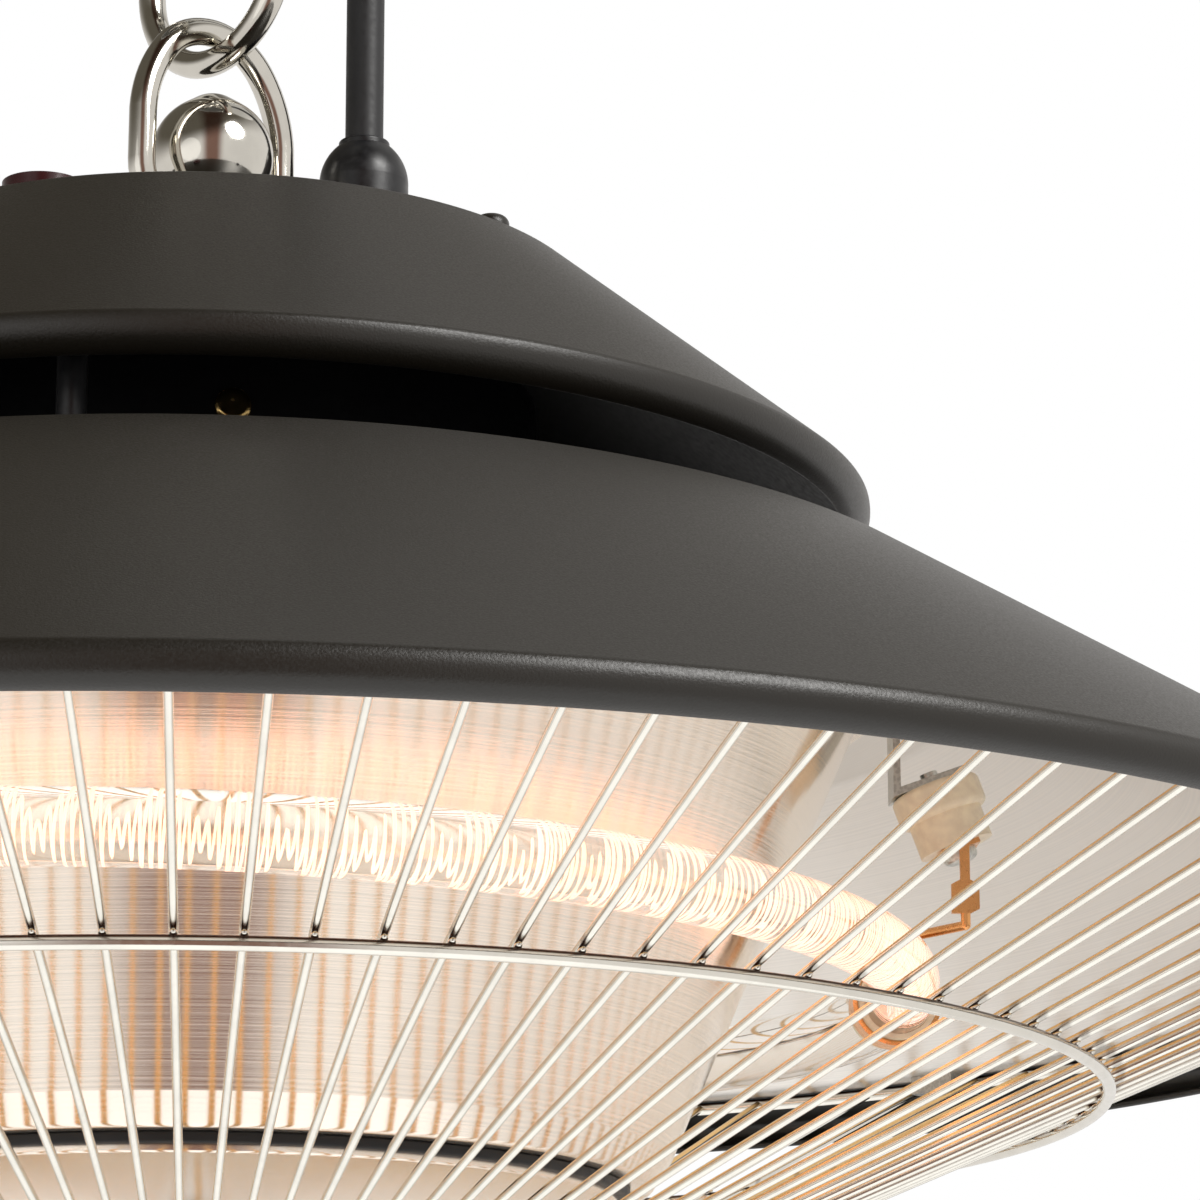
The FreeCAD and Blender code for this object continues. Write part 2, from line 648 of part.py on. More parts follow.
def stud_pieces():
    tip = d.cap_top + d.stud_head_top
    crown_lean = root(1 + d.stud_head_slope * d.stud_head_slope)
    tip_across = d.stud_tip_radius * d.stud_head_slope / crown_lean
    crown_top = tip - d.stud_tip_radius + d.stud_tip_radius / crown_lean
    shoulder = crown_top - (d.stud_head_radius - tip_across) * d.stud_head_slope
    stud = turned(
        "hanging_stud",
        [
            (ZERO, d.stud_shank_bottom),
            (d.stud_shank_radius, d.stud_shank_bottom),
            (d.stud_shank_radius, d.cap_top),
            (d.stud_flange_radius, d.cap_top),
            (d.stud_flange_radius, d.cap_top + d.stud_flange_height),
            (d.stud_neck_radius, d.cap_top + d.stud_flange_height),
            (d.stud_neck_radius, tip - d.stud_head_height),
            (d.stud_head_radius, tip - d.stud_head_height, "round", d.stud_head_foot),
            (d.stud_head_radius, shoulder, "round", d.stud_head_edge),
            (tip_across, crown_top, "bulge", d.stud_tip_radius, 1),
            (ZERO, tip),
        ],
    )
    drill(stud, [(ZERO, d.bar_height, d.chain_wire / 2 + d.bar_gap)], role="YZ_Plane")
    lower(stud, turn=d.chain_turn.value)
    bore = d.stud_shank_radius + d.fit_gap
    washer = turned(
        "stud_washer",
        [
            (bore, bridge_bottom - d.washer_thickness),
            (d.bridge_boss_radius, bridge_bottom - d.washer_thickness),
            (d.bridge_boss_radius, bridge_bottom),
            (bore, bridge_bottom),
        ],
    )
    lower(washer)
    nut_bottom = bridge_bottom - d.washer_thickness - d.nut_height
    hexagon_nut("stud_nut", d.nut_flats, bore, nut_bottom, d.nut_height)
    hexagon_nut("housing_upper_nut", d.nut_flats, bore, d.housing_top, d.nut_height)
    under = d.housing_top - d.housing_wall - d.nut_height
    hexagon_nut("housing_lower_nut", d.nut_flats, bore, under, d.nut_height)


# The cap's shoulder is an arc that meets its flat top and its cone without a kink.
cap_corner = d.cap_radius - (d.cap_top - d.cap_crease_height) / d.cap_slope
cap_lean = root(1 + d.cap_slope * d.cap_slope)
shoulder_start = cap_corner - d.cap_shoulder_radius * ((cap_lean - 1) / d.cap_slope)
cap_inner_corner = cap_corner - d.cap_wall * ((cap_lean - 1) / d.cap_slope)
d.cap_screw_circle = shoulder_start - d.cap_screw_inset


def under_cone(radius):
    """Height of the inner face of the cap's cone."""
    return d.cap_crease_height + d.cap_slope * (d.cap_radius - radius) - d.cap_wall * cap_lean


bridge_end = d.cap_screw_circle + d.bridge_reach
bridge_bottom = d.cap_top - d.cap_wall - d.bridge_thickness


def rolled_rim(radius, crease, wall, inward, down):
    """Corners of a rim that rolls inward under the crease, from the crease round to the inside."""
    roll = root(inward * inward + down * down)
    middle_across, middle_up = radius - inward, crease - down
    share = (roll - wall) / roll
    return [
        (radius, crease, "bulge", roll, -1),
        (middle_across, middle_up - roll),
        (middle_across, middle_up - roll + wall, "bulge", roll - wall, 1),
        (middle_across + inward * share, middle_up + down * share),
    ]


def cap_pieces():
    bore = d.stud_shank_radius + d.fit_gap
    rim = rolled_rim(d.cap_radius, d.cap_crease_height, d.cap_wall, d.cap_bead_in, d.cap_bead_down)
    cap = turned(
        "top_cap",
        [(bore, d.cap_top), (cap_corner, d.cap_top, "round", d.cap_shoulder_radius)]
        + rim
        + [
            (cap_inner_corner, d.cap_top - d.cap_wall, "round", d.cap_shoulder_radius - d.cap_wall),
            (bore, d.cap_top - d.cap_wall),
        ],
    )
    screw_hole = d.cap_screw_radius + d.fit_gap
    holes = [
        (d.gland_x, d.gland_y, d.gland_thread_radius + d.fit_gap),
        (d.lens_x, d.lens_y, d.lens_radius + d.fit_gap),
    ]
    screw_places = around(d.cap_screw_circle, d.cap_screw_turn.value, 2)
    holes += [(across, up, screw_hole) for across, up in screw_places]
    lower(drill(cap, holes))
    strap = doc.addObject("Part::Box", "cap_bridge_strap")
    boss = doc.addObject("Part::Cylinder", "cap_bridge_boss")
    for name, text in (
        ("Length", (2 * bridge_end).text),
        ("Width", (2 * d.bridge_half_width).text),
        ("Height", d.bridge_thickness.text),
        ("Placement.Base.x", (-bridge_end).text),
        ("Placement.Base.y", (-d.bridge_half_width).text),
    ):
        strap.setExpression(name, text)
    boss.setExpression("Radius", d.bridge_boss_radius.text)
    boss.setExpression("Height", d.bridge_thickness.text)
    whole = doc.addObject("Part::Fuse", "cap_bridge_whole")
    whole.Base = strap
    whole.Tool = boss
    tools = []
    for across, radius in ((ZERO, bore), (d.cap_screw_circle, screw_hole), (-d.cap_screw_circle, screw_hole)):
        tool = doc.addObject("Part::Cylinder", "cap_bridge_hole")
        tool.setExpression("Radius", radius.text)
        tool.setExpression("Height", d.bridge_thickness.text)
        tool.setExpression("Placement.Base.x", across.text)
        tools.append(tool)
    holes = doc.addObject("Part::Compound", "cap_bridge_holes")
    holes.Links = tools
    bridge = doc.addObject("Part::Cut", "cap_bridge")
    bridge.Base = whole
    bridge.Tool = holes
    lower(bridge, z=bridge_bottom, turn=d.cap_screw_turn.value)
    long = (d.cap_wall + d.bridge_thickness + d.cap_screw_rise).value
    screws = []
    for across, up in screw_places:
        place = Vector(across.value, up.value, d.cap_top.value)
        head, rise = d.cap_screw_head.value, d.cap_screw_rise.value
        screws.append(screw(place, Z_AXIS, head, rise, d.cap_screw_radius.value, long))
    group("cap_screws", screws)
    dome = d.lens_radius * d.lens_radius / (2 * d.lens_rise) + d.lens_rise / 2
    lens = turned(
        "indicator_lens",
        [
            (ZERO, d.cap_top - d.lens_depth),
            (d.lens_radius, d.cap_top - d.lens_depth),
            (d.lens_radius, d.cap_top + d.lens_side, "bulge", dome, 1),
            (ZERO, d.cap_top + d.lens_side + d.lens_rise),
        ],
    )
    lower(lens, x=d.lens_x, y=d.lens_y)
    posts = []
    top = under_cone(d.post_circle + d.post_radius) - d.fit_gap
    for across, up in around(d.post_circle, d.post_turn.value, 2):
        foot = Vector(across.value, up.value, d.dome_top_height.value)
        posts.append(cylinder(d.post_radius.value, foot, Vector(foot.x, foot.y, top.value)))
    group("cap_posts", posts)


def gland_pieces():
    bore = d.cord_radius + d.cord_gap
    dome_top = d.cap_top + d.gland_dome_top
    top = dome_top + d.gland_collar_height
    gland = turned(
        "cable_gland",
        [
            (bore, d.cap_top - d.gland_thread_length),
            (d.gland_thread_radius, d.cap_top - d.gland_thread_length),
            (d.gland_thread_radius, d.cap_top),
            (d.gland_flange_radius, d.cap_top),
            (d.gland_flange_radius, d.cap_top + d.gland_flange_height),
            (d.gland_barrel_radius, d.cap_top + d.gland_flange_height),
            (d.gland_barrel_radius, d.cap_top + d.gland_barrel_height),
            (bore, d.cap_top + d.gland_barrel_height),
        ],
    )
    lower(gland, x=d.gland_x, y=d.gland_y)
    inside = d.gland_barrel_radius + d.fit_gap
    nut = turned(
        "gland_nut",
        [
            (inside, d.cap_top + d.gland_flange_height),
            (d.gland_nut_radius, d.cap_top + d.gland_flange_height),
            (d.gland_nut_radius, d.cap_top + d.gland_nut_side, "bulge", d.gland_dome_radius, 1),
            (d.gland_nut_mouth, dome_top),
            (d.gland_collar_radius, dome_top),
            (d.gland_collar_radius, top, "round", d.gland_collar_edge),
            (bore, top),
            (bore, d.cap_top + d.gland_barrel_height + d.fit_gap),
            (inside, d.cap_top + d.gland_barrel_height + d.fit_gap),
        ],
    )
    lower(nut, x=d.gland_x, y=d.gland_y)
    under = d.cap_top - d.cap_wall - d.locknut_height
    thread = d.gland_thread_radius + d.fit_gap
    hexagon_nut("gland_locknut", d.locknut_flats, thread, under, d.locknut_height, d.gland_x, d.gland_y)
    cord = doc.addObject("Part::Cylinder", "power_cord")
    start = d.cap_top - d.gland_thread_length
    cord.setExpression("Radius", d.cord_radius.text)
    cord.setExpression("Height", (hang - start).text)
    lower(cord, x=d.gland_x, y=d.gland_y, z=start)


# Heights of the lower shade's inside.
crease_height = root(d.dome_bead_in * d.dome_bead_in + d.dome_bead_down * d.dome_bead_down) + d.dome_bead_down
dome_slope = (d.dome_top_height - crease_height) / (d.rim_radius - d.dome_top_radius)
dome_lean = root(1 + dome_slope * dome_slope)
dome_inside = d.dome_top_height - d.dome_wall


def dome_pieces():
    rim = rolled_rim(d.rim_radius, crease_height, d.dome_wall, d.dome_bead_in, d.dome_bead_down)
    inner = d.dome_top_radius - d.dome_wall * ((dome_lean - 1) / dome_slope)
    dome = turned(
        "lower_dome",
        [
            (d.dome_hole_radius, d.dome_top_height),
            (d.dome_top_radius, d.dome_top_height, "round", d.dome_edge_radius),
        ]
        + rim
        + [(inner, dome_inside), (d.dome_hole_radius, dome_inside)],
    )
    shank = d.small_screw_radius + d.fit_gap
    flange_turn = d.housing_screw_turn.value + 45
    flange_places = around(d.housing_screw_circle, flange_turn, 4)
    holes = [(across, up, shank) for across, up in flange_places]
    lower(drill(dome, holes))
    top = d.dome_top_height + d.housing_wall
    base = turned(
        "housing_base_shell",
        [
            (d.housing_radius - d.housing_wall, d.dome_top_height),
            (d.housing_flange_radius, d.dome_top_height),
            (d.housing_flange_radius, top),
            (d.housing_radius, top),
            (d.housing_radius, d.dome_top_height + d.housing_height),
            (d.housing_radius - d.housing_wall, d.dome_top_height + d.housing_height),
        ],
    )
    drill(base, holes)
    lid_inner = d.housing_radius + d.fit_gap
    bore = d.stud_shank_radius + d.fit_gap
    lid = turned(
        "housing_lid_shell",
        [
            (bore, d.housing_top),
            (lid_inner + d.housing_wall, d.housing_top, "round", 3 * d.housing_wall),
            (lid_inner + d.housing_wall, d.housing_skirt),
            (lid_inner, d.housing_skirt),
            (lid_inner, d.housing_top - d.housing_wall, "round", 2 * d.housing_wall),
            (bore, d.housing_top - d.housing_wall),
        ],
    )
    height = d.housing_screw_height.value
    outside = (lid_inner + d.housing_wall).value
    screws, tools = [], []
    for across, up in around(known(1), d.housing_screw_turn.value, 4):
        out = Vector(across.value, up.value, 0)
        place = out * outside + Vector(0, 0, height)
        head, rise = d.small_screw_head.value, d.small_screw_rise.value
        flat = d.fit_gap.value + outside - math.sqrt(outside**2 - head**2)
        screws.append(screw(place, out, head, rise, d.small_screw_radius.value, d.small_screw_length.value))
        tools.append(cylinder(shank.value, place - out * d.small_screw_length.value, place + out * flat))
    cutter = doc.addObject("Part::Feature", "housing_side_holes")
    cutter.Shape = Part.makeCompound(tools)
    for label, shell in (("housing_base", base), ("housing_lid", lid)):
        piece = doc.addObject("Part::Cut", label)
        piece.Base = shell
        piece.Tool = cutter
        lower(piece)
    group("housing_side_screws", screws)
    flange_screws = []
    for across, up in flange_places:
        place = Vector(across.value, up.value, top.value)
        head, rise = d.small_screw_head.value, d.small_screw_rise.value
        flange_screws.append(
            screw(place, Z_AXIS, head, rise, d.small_screw_radius.value, d.small_screw_length.value)
        )
    group("housing_flange_screws", flange_screws)
    block = doc.addObject("Part::Box", "terminal_block")
    block.setExpression("Length", d.block_length.text)
    block.setExpression("Width", d.block_width.text)
    block.setExpression("Height", d.block_height.text)
    lower(block, x=-d.block_length / 2, y=d.block_offset - d.block_width / 2, z=d.dome_top_height)


dish_inner_edge = d.dish_flange_radius - d.dish_flange_width
dish_slope = (d.dish_roof_height - d.dish_flange_height) / (dish_inner_edge - d.dish_roof_radius)
cone_lean = root(1 + d.cone_slope * d.cone_slope)


def reflector_pieces():
    shift = d.dish_wall * ((root(1 + dish_slope * dish_slope) - 1) / dish_slope)
    dish = turned(
        "reflector_dish",
        [
            (d.dish_flange_radius, d.dish_flange_height),
            (dish_inner_edge, d.dish_flange_height, "round", d.dish_bend_radius),
            (d.dish_roof_radius, d.dish_roof_height, "round", d.dish_bend_radius),
            (d.dish_hole_radius, d.dish_roof_height),
            (d.dish_hole_radius, d.dish_roof_height + d.dish_wall),
            (d.dish_roof_radius + shift, d.dish_roof_height + d.dish_wall, "round", d.dish_bend_radius + d.dish_wall),
            (dish_inner_edge + shift, d.dish_flange_height + d.dish_wall, "round", d.dish_bend_radius - d.dish_wall),
            (d.dish_flange_radius, d.dish_flange_height + d.dish_wall),
        ],
    )
    shank = d.small_screw_radius + d.fit_gap
    places = around(d.guard_clip_screw, clip_turn, 4)
    lower(drill(dish, [(across, up, shank) for across, up in places]))
    inset = d.cone_wall * cone_lean
    inside = d.cone_lip_height + d.cone_wall
    ledge_slope = d.cone_ledge / d.cone_lip_drop
    ledge_lean = root(1 + ledge_slope * ledge_slope)
    knee = d.cone_bottom_height + d.cone_wall * (ledge_lean - cone_lean) / (ledge_slope - d.cone_slope)
    ledge_inside = d.cone_bottom_radius + ledge_slope * (inside - d.cone_bottom_height) - d.cone_wall * ledge_lean
    cone = turned(
        "reflector_cone",
        [
            (cone_edge, cone_top),
            (cone_at(cone_top), cone_top),
            (d.cone_bottom_radius, d.cone_bottom_height),
            (d.cone_bottom_radius - d.cone_ledge, d.cone_lip_height, "round", d.cone_bend_radius),
            (d.cone_lip_radius, d.cone_lip_height),
            (d.cone_lip_radius, inside),
            (ledge_inside, inside, "round", d.cone_bend_radius - d.cone_wall),
            (cone_at(knee) - inset, knee),
            (cone_at(d.dish_roof_height) - inset, d.dish_roof_height),
            (cone_edge, d.dish_roof_height),
        ],
    )
    lower(cone)
    spacers = []
    for across, up in around(d.spacer_circle, 45, 4):
        foot = Vector(across.value, up.value, (d.dish_roof_height + d.dish_wall).value)
        spacers.append(cylinder(d.spacer_radius.value, foot, Vector(foot.x, foot.y, dome_inside.value)))
    group("reflector_spacers", spacers)
    gasket_bottom = d.cone_lip_height - d.gasket_height
    gasket = turned(
        "cover_gasket",
        [
            (d.gasket_inner, gasket_bottom),
            (d.gasket_outer, gasket_bottom),
            (d.gasket_outer, d.cone_lip_height),
            (d.gasket_inner, d.cone_lip_height),
        ],
    )
    lower(gasket)
    cover_bottom = gasket_bottom - d.cover_thickness
    bore = d.cover_screw_radius + d.fit_gap
    cover = turned(
        "bottom_cover",
        [
            (bore, cover_bottom),
            (d.cover_radius, cover_bottom, "round", d.cover_thickness / 2),
            (d.cover_radius, gasket_bottom),
            (bore, gasket_bottom),
        ],
    )
    lower(cover)
    bar = doc.addObject("Part::Box", "cover_bar_blank")
    bar.setExpression("Length", (2 * d.bar_half_length).text)
    bar.setExpression("Width", d.bar_width.text)
    bar.setExpression("Height", d.bar_thickness.text)
    bar.setExpression("Placement.Base.x", (-d.bar_half_length).text)
    bar.setExpression("Placement.Base.y", (-d.bar_width / 2).text)
    hole = doc.addObject("Part::Cylinder", "cover_bar_hole")
    hole.setExpression("Radius", bore.text)
    hole.setExpression("Height", d.bar_thickness.text)
    cut = doc.addObject("Part::Cut", "cover_bar")
    cut.Base = bar
    cut.Tool = hole
    lower(cut, z=inside)
    place = Vector(0, 0, cover_bottom.value)
    head, rise = d.cover_screw_head.value, d.cover_screw_rise.value
    shape = screw(place, -Z_AXIS, head, rise, d.cover_screw_radius.value, d.cover_screw_length.value)
    group("cover_screw", [shape])


def at_lamp(angle, out=0.0, up=0.0):
    """A place on the lamp's ring in the direction angle, moved outward and up from it."""
    radius = d.lamp_radius.value + out
    return Vector(radius * math.cos(math.radians(angle)), radius * math.sin(math.radians(angle)), up)


def lamp_drop(angle):
    """How far the tilted ring lies below its middle in the direction angle."""
    lean = math.tan(math.radians(d.lamp_tilt.value))
    return d.lamp_radius.value * math.cos(math.radians(angle)) * lean


def ring_part(outer, inner, start, span):
    """A piece of a tube bent along the lamp's ring."""
    place = at_lamp(start)
    normal = Vector(-place.y, place.x, 0).normalize()
    face = Part.Face(Part.Wire(Part.Circle(place, normal, outer).toShape()))
    if inner > 0:
        face = face.cut(Part.Face(Part.Wire(Part.Circle(place, normal, inner).toShape())))
    return face.revolve(Vector(0, 0, 0), Z_AXIS, span).Solids[0]


lamp_start = d.lamp_gap_turn.value + d.lamp_gap.value / 2
lamp_span = 360 - d.lamp_gap.value


def coil_path():
    """Arcs along the heating coil: a helix round the lamp's ring, two arcs to each half turn."""
    big, small = d.lamp_radius.value, d.filament_radius.value
    curls = int(round(d.filament_curls.value))
    margin = d.lamp_cap_cover.value + math.degrees(d.filament_tail.value / big)
    first, span = math.radians(lamp_start + margin), math.radians(lamp_span - 2 * margin)

    def spot(turn):
        along = first + span * turn / curls
        wind = 2 * math.pi * turn
        reach = big + small * math.cos(wind)
        return Vector(reach * math.cos(along), reach * math.sin(along), small * math.sin(wind))

    def heading(turn):
        step = 1e-5
        return (spot(turn + step) - spot(turn - step)).normalize()

    arcs, points = [], []
    for k in range(2 * curls):
        a, b = k / 2, (k + 1) / 2
        arcs += two_arcs(spot(a), heading(a), spot(b), heading(b))
        points += [(turn, spot(turn)) for turn in (a, a + 0.125, a + 0.25, a + 0.375)]
    nearest = min(
        (p - q).Length for turn, p in points for other, q in points if 0.6 < other - turn < 1.5
    )
    print("filament: least gap to itself %.2f mm" % (nearest - d.filament_wire.value))
    return Part.Wire(arcs), spot(0), heading(0)


def two_arcs(start, start_way, end, end_way):
    """Two arcs that join two places with the given headings."""
    chord = end - start
    both = start_way + end_way
    spare = 2 * (1 - start_way.dot(end_way))
    cross = chord.dot(both)
    reach = (-cross + math.sqrt(cross**2 + spare * chord.dot(chord))) / spare
    middle = (start + end + (start_way - end_way) * reach) * 0.5
    return [arc_from(start, start_way, middle), arc_from(end, -end_way, middle)]


def arc_from(start, way, end):
    """The arc that leaves start along way and ends at end."""
    chord = end - start
    along = chord * (1 / chord.Length)
    bulge = (way - along * way.dot(along)).normalize()
    half = way.getAngle(along) / 2
    return Part.Arc(start, start + chord * 0.5 + bulge * (chord.Length / 2 * math.tan(half)), end).toShape()


def lamp_pieces():
    tilt = d.lamp_tilt.value
    tube_radius = d.lamp_tube_radius.value
    tube = doc.addObject("PartDesign::Body", "lamp_tube")
    section = new_sketch(tube, "lamp_tube_section", "XZ_Plane")
    circles(
        section,
        [
            (d.lamp_radius, ZERO, d.lamp_tube_radius),
            (d.lamp_radius, ZERO, d.lamp_tube_radius - d.lamp_tube_wall),
        ],
    )
    bent = tube.newObject("PartDesign::Revolution", "lamp_tube_bent")
    bent.Profile = section
    bent.ReferenceAxis = (section, ["V_Axis"])
    bent.setExpression("Angle", (360 - d.lamp_gap).text)
    lower(tube, z=d.lamp_height, turn=lamp_start, tilt=tilt)
    path, first, way = coil_path()
    wire = Part.Wire([Part.Circle(first, way, d.filament_wire.value / 2).toShape()])
    group("lamp_filament", [path.makePipeShell([wire], True, False)], z=d.lamp_height, tilt=tilt)
    cover, end = d.lamp_cap_cover.value, d.lamp_cap_end.value
    cap_radius, bore = d.lamp_cap_radius.value, (d.lamp_tube_radius + d.fit_gap).value
    free = math.degrees(d.fit_gap.value / d.lamp_radius.value)
    caps = []
    for edge, side in ((lamp_start, -1), (lamp_start + lamp_span, 1)):
        first = min(edge - side * cover, edge + side * end)
        blank = ring_part(cap_radius, 0, first, cover + end)
        inner = edge + side * free
        seat = ring_part(bore, 0, min(edge - side * 2 * cover, inner), 2 * cover + free)
        caps.append(blank.cut(seat).Solids[0])
    group("lamp_end_caps", caps, z=d.lamp_height, tilt=tilt)
    grip, band = cap_radius + d.fit_gap.value, d.band_cover.value
    bands = []
    for edge, side in ((lamp_start, -1), (lamp_start + lamp_span, 1)):
        middle = edge - side * cover / 2
        bands.append(ring_part(grip + d.clip_wall.value, grip, middle - band / 2, band))
    group("lamp_bands", bands, z=d.lamp_height, tilt=tilt)
    holder_pieces()


def holder_pieces():
    """Ceramic holders, brackets, screws, copper clips and the lamp's leads, at both ends of the lamp."""
    lean = math.radians(d.holder_lean.value)
    up = Vector(-math.sin(lean), 0, math.cos(lean))
    along = Vector(math.cos(lean), 0, math.sin(lean))
    gap, roof = d.fit_gap.value, d.dish_roof_height.value
    middle = Vector(holder_circle.value, 0, roof - d.holder_drop.value)
    half = d.holder_half_height.value
    top, foot = middle + up * half, middle - up * half
    bore = cylinder(d.small_screw_radius.value + gap, foot - up * half, top + up * half)
    holder = holder_shape(foot, middle, top).cut(bore)
    bracket = bracket_shape(top + up * gap, up, along).cut(bore)
    clip = clip_shape(foot - up * gap, up, along, bore)
    seat = foot - up * (gap + d.clip_wall.value)
    long = 2 * (half + gap) + d.clip_wall.value + 2 * d.bracket_wall.value
    bolt = screw(seat, -up, d.small_screw_head.value, d.small_screw_rise.value, d.small_screw_radius.value, long)
    pieces = {"lamp_holders": holder, "holder_brackets": bracket, "lamp_clips": clip, "holder_screws": bolt}
    ends = ((lamp_start, -1), (lamp_start + lamp_span, 1))
    for label, shape in pieces.items():
        turns = [edge - side * d.holder_turn.value for edge, side in ends]
        group(label, [shape.rotated(Vector(0, 0, 0), Z_AXIS, turn) for turn in turns])
    leads = []
    plate_bottom = foot.z - d.clip_stem_length.value - d.clip_plate_height.value
    for edge, side in ends:
        tail = edge + side * d.lamp_cap_end.value / 2
        low = d.lamp_height.value - lamp_drop(tail) + d.lamp_cap_radius.value + gap
        high = plate_bottom - d.lead_drop.value
        across = foot.x + d.clip_offset.value
        spot = Vector(across, (d.clip_wall.value - d.clip_tab_width.value) / 2, 0)
        spin = FreeCAD.Rotation(Z_AXIS, edge - side * d.holder_turn.value)
        under = spin.multVec(spot)
        places = [at_lamp(tail, up=low), at_lamp(tail, up=high)]
        places += [under + Vector(0, 0, high), under + Vector(0, 0, plate_bottom - gap)]
        leads.append(bent_rod(places, d.lamp_lead_radius.value))
    group("lamp_leads", leads)


def bent_rod(places, radius):
    """A round rod along straight runs, with round corners."""
    rod = cylinder(radius, places[0], places[1])
    for before, after in zip(places[1:], places[2:]):
        rod = rod.fuse([Part.makeSphere(radius, before), cylinder(radius, before, after)])
    return rod.removeSplitter()


def strip(corners, width, start):
    """A flat outline of (across, up) in the upright plane, given a width from start."""
    spots = [Vector(across, start, up) for across, up in corners]
    return Part.Face(Part.makePolygon(spots + spots[:1])).extrude(Vector(0, width, 0))


def holder_shape(foot, middle, top):
    """A ceramic bush with a rounded collar."""
    radius = d.holder_collar_radius.value
    collar = cylinder(radius, middle, top)
    rims = [e for e in collar.Edges if len(e.Vertexes) == 1]
    collar = collar.makeFillet(d.holder_edge.value, rims)
    return cylinder(d.holder_radius.value, foot, middle).fuse(collar).removeSplitter()


def bracket_shape(seat, up, along):
    """A strip bent from the reflector's roof down to the leaning top of the holder."""
    wall, roof = d.bracket_wall.value, d.dish_roof_height.value
    web = (cone_edge + d.bracket_clear).value
    end = web + d.bracket_length.value
    tip = seat + along * d.bracket_foot.value
    over = tip + up * wall
    slope = along.z / along.x
    knee = seat.z + (web - seat.x) * slope
    inner = over.z + (web + wall - over.x) * slope
    corners = [(end, roof), (web, roof), (web, knee), (tip.x, tip.z), (over.x, over.z)]
    corners += [(web + wall, inner), (web + wall, roof - wall), (end, roof - wall)]
    return strip(corners, d.bracket_width.value, -d.bracket_width.value / 2)


def clip_shape(seat, up, along, bore):
    """A copper strip: a tab under the holder, a stem and a hanging plate."""
    wall, width = d.clip_wall.value, d.clip_tab_width.value
    reach = along * (d.clip_tab_length.value / 2)
    spots = [seat - reach, seat + reach, seat + reach - up * wall, seat - reach - up * wall]
    tab = strip([(spot.x, spot.z) for spot in spots], width, -width / 2).cut(bore)
    middle = seat.x + d.clip_offset.value
    stem, plate = d.clip_stem_width.value / 2, d.clip_plate_width.value / 2
    slope = along.z / along.x
    high = [seat.z + (across - seat.x) * slope for across in (middle - stem, middle + stem)]
    top = seat.z - d.clip_stem_length.value
    low = top - d.clip_plate_height.value
    corners = [(middle - stem, high[0]), (middle + stem, high[1]), (middle + stem, top)]
    corners += [(middle + plate, top - stem), (middle + plate, low + stem), (middle + stem, low)]
    corners += [(middle - plate, low), (middle - plate, top - stem), (middle - stem, top)]
    return tab.fuse(strip(corners, wall, -width / 2)).removeSplitter()


# The clips of the guard sit midway between two wires.
wire_angle = 360.0 / round(d.guard_count.value)
clip_turn = d.guard_turn.value + wire_angle * (round(d.guard_count.value / 8) + 0.5)
guard_lean = root(1 + d.guard_slope * d.guard_slope)
wire_rise = (d.guard_ring_wire / 2 + d.guard_wire / 2 + d.guard_gap) * guard_lean


def guard_at(radius):
    """Height of the middle of a guard wire."""
    return d.guard_ring_height + wire_rise + d.guard_slope * (radius - d.guard_ring_radius)


def torus(label, radius, wire, height):
    ring = doc.addObject("Part::Torus", label)
    ring.setExpression("Radius1", radius.text)
    ring.setExpression("Radius2", (wire / 2).text)
    return lower(ring, z=height)


def guard_pieces():
    torus("guard_ring", d.guard_ring_radius, d.guard_ring_wire, d.guard_ring_height)
    torus("guard_outer_ring", d.guard_outer_radius, d.guard_outer_wire, outer_ring_height)
    outer_end = d.guard_outer_radius - d.guard_outer_wire / 2 - d.guard_seat_gap
    inner_end = d.guard_end_radius
    wires = []
    for k in range(round(d.guard_count.value)):
        angle = math.radians(d.guard_turn.value + wire_angle * k)
        way = Vector(math.cos(angle), math.sin(angle), 0)
        start = way * inner_end.value + Vector(0, 0, guard_at(inner_end).value)
        end = way * outer_end.value + Vector(0, 0, guard_at(outer_end).value)
        wires.append(cylinder(d.guard_wire.value / 2, start, end))
    group("guard_wires", wires)
    under = (d.guard_wire / 2 + d.guard_gap) * guard_lean
    hub = turned(
        "guard_hub",
        [
            (ZERO, guard_at(ZERO) - under),
            (ZERO, guard_at(ZERO) - under - d.hub_thickness),
            (d.hub_radius, guard_at(d.hub_radius) - under - d.hub_thickness),
            (d.hub_radius, guard_at(d.hub_radius) - under),
        ],
    )
    lower(hub)
    top = d.dish_flange_height
    step = outer_ring_height - d.guard_outer_wire / 2 - d.guard_gap
    inner = d.guard_clip_inner
    shelf = d.guard_outer_radius - d.guard_outer_wire / 2 - d.guard_seat_gap - d.clip_wall
    reach = d.guard_outer_radius + d.guard_clip_reach
    bottom = step - d.guard_clip_wall
    corners = [(inner, top), (shelf, top), (shelf, step), (reach, step), (reach, bottom), (inner, bottom)]
    spots = [Vector(across.value, 0, up.value) for across, up in corners]
    clips, screws = [], []
    half = d.guard_clip_angle.value / 2
    for (across, up), (one, other) in zip(around(d.guard_clip_screw, clip_turn, 4), around(known(1), clip_turn, 4)):
        angle = math.degrees(math.atan2(other.value, one.value))
        face = Part.Face(Part.makePolygon(spots + spots[:1]))
        clip = face.rotated(Vector(0, 0, 0), Z_AXIS, angle - half).revolve(
            Vector(0, 0, 0), Z_AXIS, 2 * half
        )
        place = Vector(across.value, up.value, bottom.value)
        bore = cylinder((d.small_screw_radius + d.fit_gap).value, place, Vector(place.x, place.y, top.value))
        clips.append(clip.cut(bore).Solids[0])
        head, rise = d.small_screw_head.value, d.small_screw_rise.value
        screws.append(
            screw(place, -Z_AXIS, head, rise, d.small_screw_radius.value, d.small_screw_length.value)
        )
    group("guard_clips", clips)
    group("guard_clip_screws", screws)


